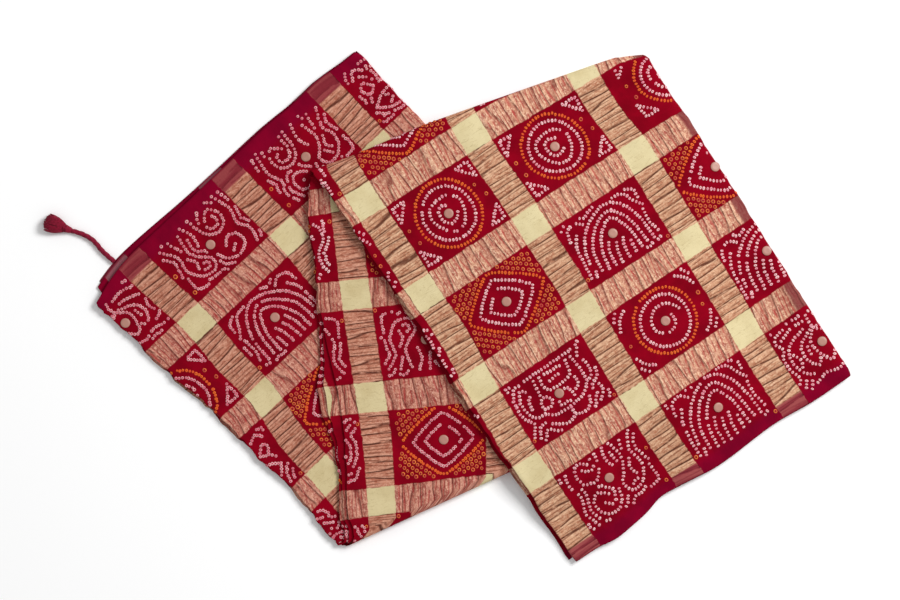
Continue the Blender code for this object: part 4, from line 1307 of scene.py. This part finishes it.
def yarnMaterial(name):
    look = yarnLooks[name]
    material, tree, shader, place = mottledMaterial(name, {
        "roughness": 0.8, "specular": 0.2, "noise": (look["along"], 3.0, 0.6), "span": (0.3, 0.7),
        "colours": look["colours"]})
    shader.inputs["Sheen Weight"].default_value = 0.04
    bump = makeNode(tree, "ShaderNodeBump", {"Strength": 0.4, "Distance": 0.0003,
                                             "Height": noise(tree, place, look["along"] * 3)})
    tree.links.new(bump.outputs[0], shader.inputs["Normal"])
    return material


def buildTassel(path, material):
    # a bound head, and fine strands that spread from under it
    sizes = tasselSizes
    chance = np.random.default_rng(5)
    last, before = path[-1], path[-3]
    along = (last - before).normalized()
    along.rotate(Euler((0, 0, math.radians(sizes["turn"]))))
    across = Vector((-along.y, along.x, 0))
    start = Vector((last.x, last.y, 0)) + along * (0.05 * mm)
    points = []
    for share, girth in sizes["head"]:
        for n in range(sizes["headSides"]):
            angle = 2 * math.pi * n / sizes["headSides"]
            radius = sizes["headRadius"] * girth * (1 + 0.03 * math.cos(sizes["headRibs"] * angle))
            offset = along * (share * sizes["headLength"]) + across * (radius * math.cos(angle))
            middle = sizes["headRadius"] * girth + sizes["lift"] + 0.3 * share
            points.append(start + (offset + Vector((0, 0, middle + radius * math.sin(angle)))) * mm)
    faces = tubeFaces(len(sizes["head"]), sizes["headSides"])
    widest = sizes["rings"][-1][1]
    for number, (count, halfWidth, halfHeight, reach) in enumerate(sizes["rings"]):
        for n in range(count):
            angle = 2 * math.pi * (n + 0.25 + 0.5 * number) / count
            side, up = halfWidth * math.cos(angle), halfHeight * math.sin(angle)
            length = reach - sizes["roundEnd"] * (side / widest) ** 2
            length += chance.normal(0, sizes["lengthSpread"])
            addStrand(points, faces, (start, along, across), (side, up), length, chance)
    return addPiece("tasselSkirt", points, faces, [material])


def addStrand(points, faces, axes, tip, length, chance):
    # a strand that spreads out to its tip, waving a little, and never goes under the floor
    sizes = tasselSizes
    start, along, across = axes
    base = len(points)
    steps, sides = sizes["strandSteps"], sizes["strandSides"]
    root = sizes["headLength"] * sizes["strandRoot"]
    sway, phase = chance.normal(0, sizes["swaySpread"]), chance.uniform(0, 6)
    for step in range(steps + 1):
        share = step / steps
        spread = 1 - (1 - sizes["rootSpread"]) * (1 - share) ** 2.3
        reach = root + (length + sizes["headLength"] - root) * share
        wave = sway * math.sin(3 * share + phase) * share
        up = sizes["rest"] + tip[1] * spread + (sizes["headRadius"] - sizes["rest"]) * (
            1 - float(smoothStep(0, 1, share * 2.5)))
        radius = sizes["strandRadius"] * (1 - 0.3 * share ** 3)
        for k in range(sides):
            angle = 2 * math.pi * k / sides
            offset = along * reach + across * (tip[0] * spread + wave + radius * math.cos(angle))
            rise = max(up + wave * 0.5 + radius * math.sin(angle), 0.1)
            points.append(start + (offset + Vector((0, 0, rise))) * mm)
    faces += tubeFaces(steps + 1, sides, base)


twistedCord, cordPath, cordLength = buildCord(yarnMaterial("cordYarn"))
tasselSkirt = buildTassel(cordPath, yarnMaterial("tasselYarn"))
print("cord length:", round(cordLength, 4))


# Floor and light
studio = {
    "floorSize": 8.0,
    "floorColour": srgb(255, 255, 255),
    "ambient": 0.53,
    "keyEnergy": 77.0,
    "keySize": 1.1,
    "keyPlace": (1.75, 1.2, 2.1),
}


def addStudio():
    half = studio["floorSize"] / 2
    material, tree, shader = newMaterial("paleFloor", 0.9)
    shader.inputs["Base Color"].default_value = studio["floorColour"]
    corners = [(-half, -half, 0), (half, -half, 0), (half, half, 0), (-half, half, 0)]
    floor = addPiece("paleFloor", corners, [(0, 1, 2, 3)], [material], smooth=False)
    world = bpy.data.worlds.new("softRoom")
    world.use_nodes = True
    background = world.node_tree.nodes["Background"]
    background.inputs["Color"].default_value = (1, 1, 1, 1)
    background.inputs["Strength"].default_value = studio["ambient"]
    bpy.context.scene.world = world
    data = bpy.data.lights.new("softKey", "AREA")
    data.energy = studio["keyEnergy"]
    data.size = studio["keySize"]
    key = bpy.data.objects.new("softKey", data)
    key.location = studio["keyPlace"]
    key.rotation_euler = (-Vector(studio["keyPlace"])).to_track_quat("-Z", "Y").to_euler()
    bpy.context.scene.collection.objects.link(key)
    bpy.context.scene.view_settings.view_transform = "Standard"


addStudio()
print("floor and light placed")


# What each piece rides on, and the parts of the frame that it replaces
for piece in (foldedCloth, whiteGrains, whiteRings, orangeDots, faintRings, sewnDiscs):
    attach(piece, "root")
for piece in (twistedCord, tasselSkirt):
    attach(piece, "root")
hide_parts("cloth")
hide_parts("tassel_cord")
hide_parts("tassel")
